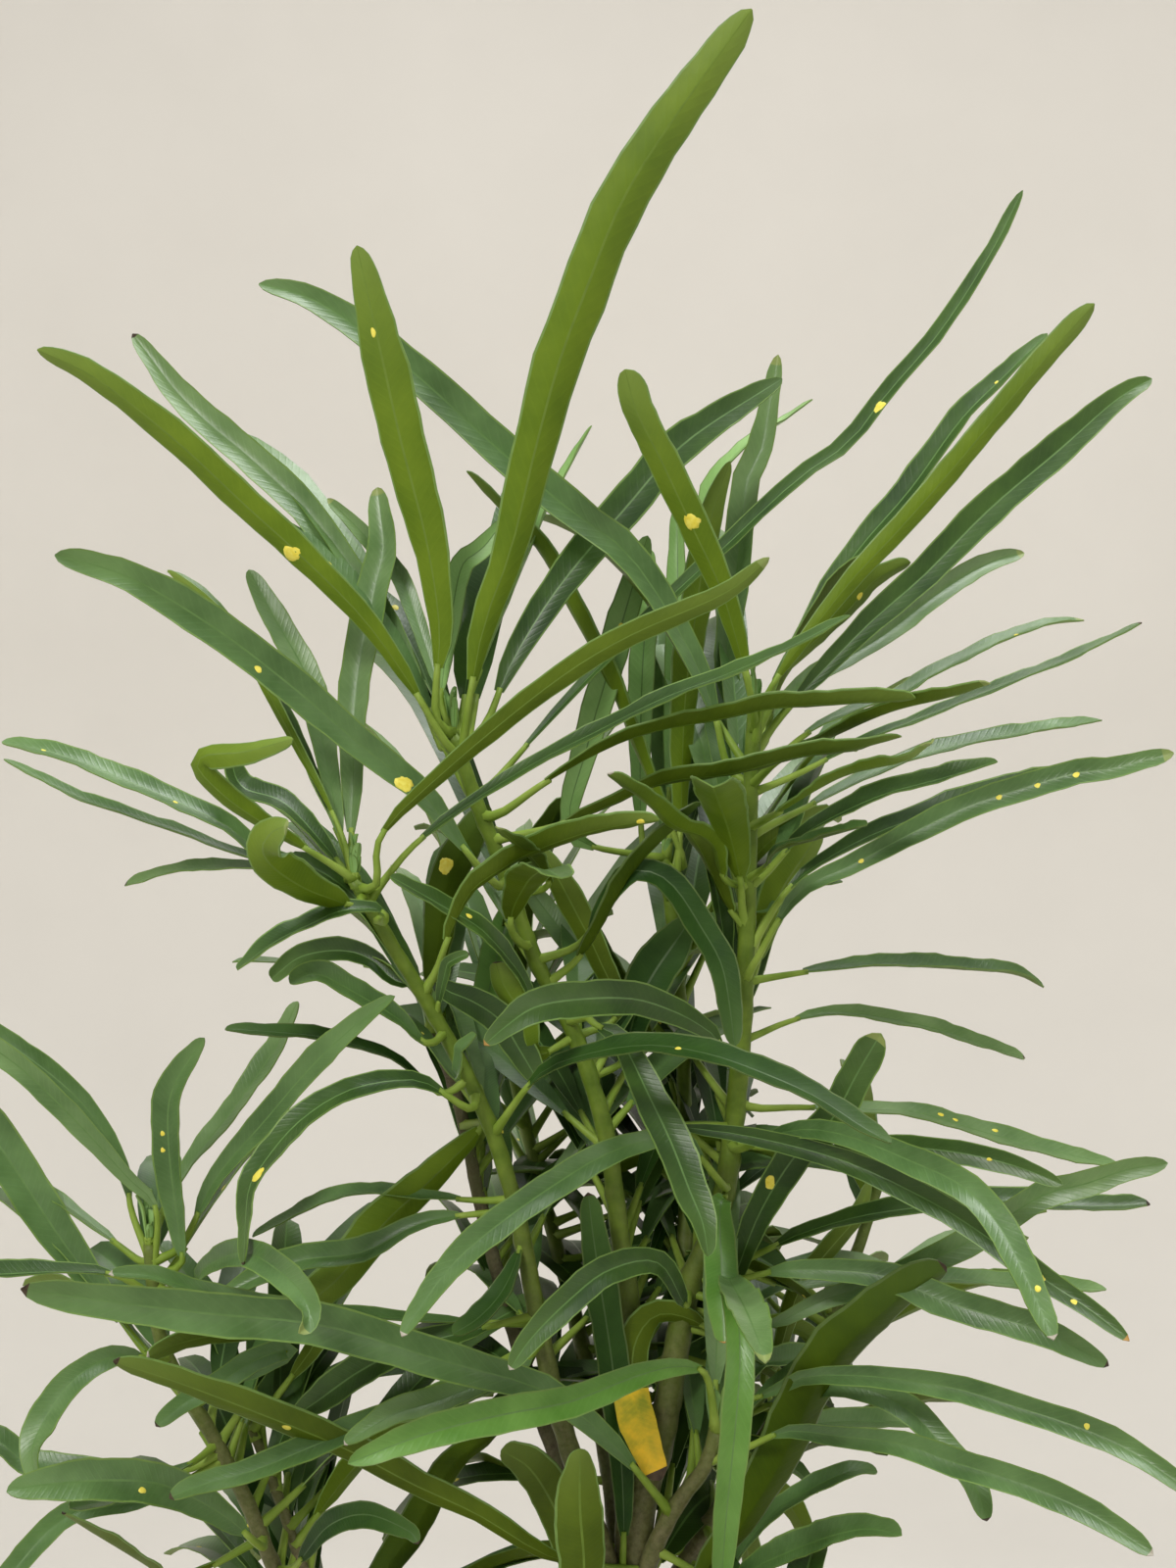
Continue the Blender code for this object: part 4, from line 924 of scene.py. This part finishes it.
# shoot: leaves' letter, how far down it is leafy, longest leaf in mm, whether leaves may come to the
# front, how many furled leaves
SHOOT_RULES = {
    "bough_low_left": ("A", 0.135, 92, False, 5), "bough_low_left_twin": ("A", 0.07, 80, False, 0),
    "bough_left": ("B", 0.150, 100, False, 5), "bough_left_back": ("B", 0.110, 95, False, 3),
    "bough_centre": ("C", 0.190, 120, False, 5), "bough_right": ("E", 0.190, 120, False, 5),
    "bough_fork": ("G", 0.055, 95, False, 3), "bough_back_pale": ("F", 0.120, 105, False, 4),
    "bough_back_left": ("H", 0.150, 112, True, 3), "bough_back_right": ("H", 0.135, 105, True, 0),
    "bough_front_right": ("G", 0.085, 88, True, 0)}
# By whether a shoot is free all round: how far apart its leaves are, and the lowest leaf's rise.
LEAF_EVERY = {True: 0.0036, False: 0.0046}
LOWEST_RISE = {True: -6, False: 22}
STEEPEST_RISE = 66
ATTEMPTS = 7
HIDDEN_ENOUGH = 0.93
BOX_MARGIN = 0.006
BOX_LOW, BOX_HIGH = np.array(cad_box[0]) - BOX_MARGIN, np.array(cad_box[1]) + BOX_MARGIN
NATURAL_STEPS = 24
nearest_depth = np.full((CELLS, CELLS), np.inf)


def to_front(points):
    """Where points fall in the upright plane through the trunk, as seen from the front."""
    scale = -EYE.y / (points[:, 1] - EYE.y)
    return np.array(((points[:, 0] - EYE.x) * scale, (points[:, 2] - EYE.z) * scale)).T


def cells_of(flat):
    return np.clip((flat / CELL + CELLS / 2).astype(int), 0, CELLS - 1).T


def close_off(points, around=0):
    """Notes how near the front these points are, in the cells that they cover and those round them."""
    for dx in range(-around, around + 1):
        for dz in range(-around, around + 1):
            cells = tuple(cells_of(to_front(points) + (dx * CELL, dz * CELL)))
            np.minimum.at(nearest_depth, cells, points[:, 1])


whole_blade = np.array([(a, s) for a in np.linspace(-1, 1, 9) for s in np.linspace(0, 1, 150)]).T
half_blade = np.array([(a, s) for a in (-0.9, 0.0, 0.9) for s in np.linspace(0.12, 1, 24)]).T
for blade in seen_blades:
    close_off(blade.at(*whole_blade, 0.0))
for line in seen_lines:
    close_off(line, 1)
for line in limb_lines.values():
    close_off(line, 2)


def hidden_share(points):
    """The share of these points behind what is drawn already, in a closed part or outside the view."""
    x, z = to_front(points).T
    open_here = (np.abs(x) > VIEW_HALF_W) | (z < -VIEW_HALF_H)
    for left, right, low, high in HEARTS:
        open_here |= (x > left) & (x < right) & (z > low) & (z < high)
    drawn = nearest_depth[tuple(cells_of(to_front(points)))]
    return float(np.where(np.isinf(drawn), open_here, points[:, 1] > drawn - 0.003).mean())


def natural_line(start, bearing, rise, length, droop):
    """A leaf's line: out from the shoot at this rise, then bending down evenly along its length."""
    points = [np.array(start)]
    for k in range(NATURAL_STEPS):
        share = k / NATURAL_STEPS
        lift = rise + 0.25 * math.sin(share * math.pi) - droop * share**1.5
        way = np.array((
            math.cos(lift) * math.cos(bearing), math.cos(lift) * math.sin(bearing), math.sin(lift)))
        points.append(points[-1] + way * length / NATURAL_STEPS)
    return np.array(points)


def upper_normals(line, roll):
    """Unit normals that look up, rolled about the line."""
    along = tangents(line)
    level = unit_rows(np.cross(along, (0, 0, 1.0)))
    return math.cos(roll) * np.cross(level, along) + math.sin(roll) * level


grown = 0
for seed, (name, (letter, leafy, longest, all_round, _)) in enumerate(SHOOT_RULES.items()):
    line = limb_lines[name]
    run = run_along(line)
    rng = np.random.default_rng(900 + seed)
    for k in range(int(leafy / LEAF_EVERY[all_round])):
        at = 0.003 + k * LEAF_EVERY[all_round]
        start = points_at(line, run, at)
        rank = at / leafy
        for attempt in range(ATTEMPTS):
            bearing = k * GOLDEN + seed + rng.uniform(-0.3, 0.3) + attempt * 0.9
            if not all_round and math.sin(bearing) < -0.1:
                continue
            rise = STEEPEST_RISE + (LOWEST_RISE[all_round] - STEEPEST_RISE) * rank**0.8 + rng.uniform(-9, 9)
            length = longest / 1000 * (0.72 + 0.42 * math.sin(min(1, rank * 1.6 + 0.25) * 2.4))
            length = length * rng.uniform(0.8, 1.1) * (1 - 0.09 * attempt)
            droop = rng.uniform(18, 46) + 34 * rank
            leaf = natural_line(start, bearing, math.radians(rise), length, math.radians(droop))
            normals_for = functools.partial(upper_normals, roll=rng.uniform(-0.8, 0.8))
            width = rng.uniform(8.0, 11.4) / 1000
            trial = Blade(leaf, normals_for(leaf), width, 0.2, rng)
            if hidden_share(trial.at(*half_blade, 0.0)) < HIDDEN_ENOUGH:
                continue
            if (leaf < BOX_LOW).any() or (leaf > BOX_HIGH).any():
                continue
            # Leaves low on a shoot may take the shaded tone, painted shade for the inside of the crown.
            tone = int(rng.choice((0, 1, 1, 2) if rank < 0.55 else (3, 0, 0, 1)))
            tip = "-" if rng.random() < 0.75 else str(rng.choice(["w", "b", "y"]))
            blade = grow_leaf(letter, leaf, normals_for, width, leaf_slots("t", tone), TIPS[tip],
                              rng.uniform(0.12, 0.35), rng, blank=plain_blank)
            if rng.random() < 0.22:
                spot_places.append((blade, rng.uniform(0.3, 0.9), False, 7000 + grown))
            grown += 1
            break

# Small upright leaves, still furled round the growing point of each shoot.
for seed, (name, (letter, _, _, _, furled)) in enumerate(SHOOT_RULES.items()):
    start = limb_lines[name][0] - (0, 0, 0.002)
    rng = np.random.default_rng(1200 + seed)
    for k in range(furled):
        rise = math.radians(rng.uniform(68, 84))
        leaf = natural_line(start, k * GOLDEN + seed, rise, rng.uniform(0.007, 0.018), math.radians(10))
        normals_for = functools.partial(upper_normals, roll=0.0)
        grow_leaf(letter, leaf, normals_for, rng.uniform(0.0018, 0.0030), leaf_slots("y", 1), (), 0.5,
                  rng, stalk=SHORT_STALK)

MASS_NODES = [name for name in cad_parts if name.startswith("foliage_")]
GROUP_NODES = {
    "leaves_left": [n for n in MASS_NODES if "left" in n and "back" not in n],
    "leaves_centre": [n for n in MASS_NODES if "centre" in n or n in ("foliage_lead", "foliage_fork")],
    "leaves_right": [n for n in MASS_NODES if "right" in n and "back" not in n]
                    + [n for n in MASS_NODES if n in ("foliage_fork_arch", "foliage_fork_top")],
    "leaves_back": [n for n in MASS_NODES if "back" in n],
}
for name, work in leaf_work.items():
    piece = new_piece(name, work, LEAF_FINISHES, smooth=False)
    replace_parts(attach(piece, "root"), *GROUP_NODES[name])

# --- Leaf stalks -----------------------------------------------------------------------------
# Curved yellow-green stalks, a little swollen where they leave the shoot. Each was laid above with
# its leaf, from the shoot into the foot of the blade.
stalk_skin = mottled(
    "leaf_stalk", (0.170, 0.275, 0.025), (0.285, 0.400, 0.065), 0.5, 90, Specular_IOR_Level=0.3)
stalks = new_piece("leaf_stalks", stalk_work, [stalk_skin], smooth=False)
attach(stalks, "root")

# --- Yellow spots ----------------------------------------------------------------------------
# The blades' own yellow freckles, round or oblong, that show on both faces. Each is a thin lens set
# through its blade and bent with it.
yellow = mottled("leaf_spot", (0.84, 0.70, 0.05), (0.95, 0.86, 0.16), 0.5, 900)
lens = bmesh.new()
bmesh.ops.create_uvsphere(lens, u_segments=14, v_segments=5, radius=1.0)
for face in lens.faces:
    face.smooth = True
lens_blank = finished_mesh("spot_blank", lens)
lens_across, lens_along, lens_level = blank_points(lens_blank).T
work = bmesh.new()
for blade, share, large, seed in spot_places:
    rng = np.random.default_rng(seed)
    long_r = rng.uniform(0.0024, 0.0031) if large else rng.uniform(0.0009, 0.0016)
    wide_r = long_r * rng.uniform(0.55, 0.95)
    half = blade.width / 2 * float(outline(np.array(share), blade.point))
    centre = rng.uniform(-0.45, 0.45)
    bumpy = 1 + 0.07 * np.sin(np.arctan2(lens_along, lens_across) * 3 + rng.uniform(0, 6))
    points = blade.at(
        np.clip(centre + lens_across * bumpy * wide_r / half, -0.97, 0.97),
        np.clip(share + lens_along * bumpy * long_r / blade.length, 0, 1),
        lens_level * (BLADE_THICK / 2 + 0.00012))
    stamp(work, lens_blank, points)
spots = new_piece("leaf_spots", work, [yellow], smooth=False)
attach(spots, "root")
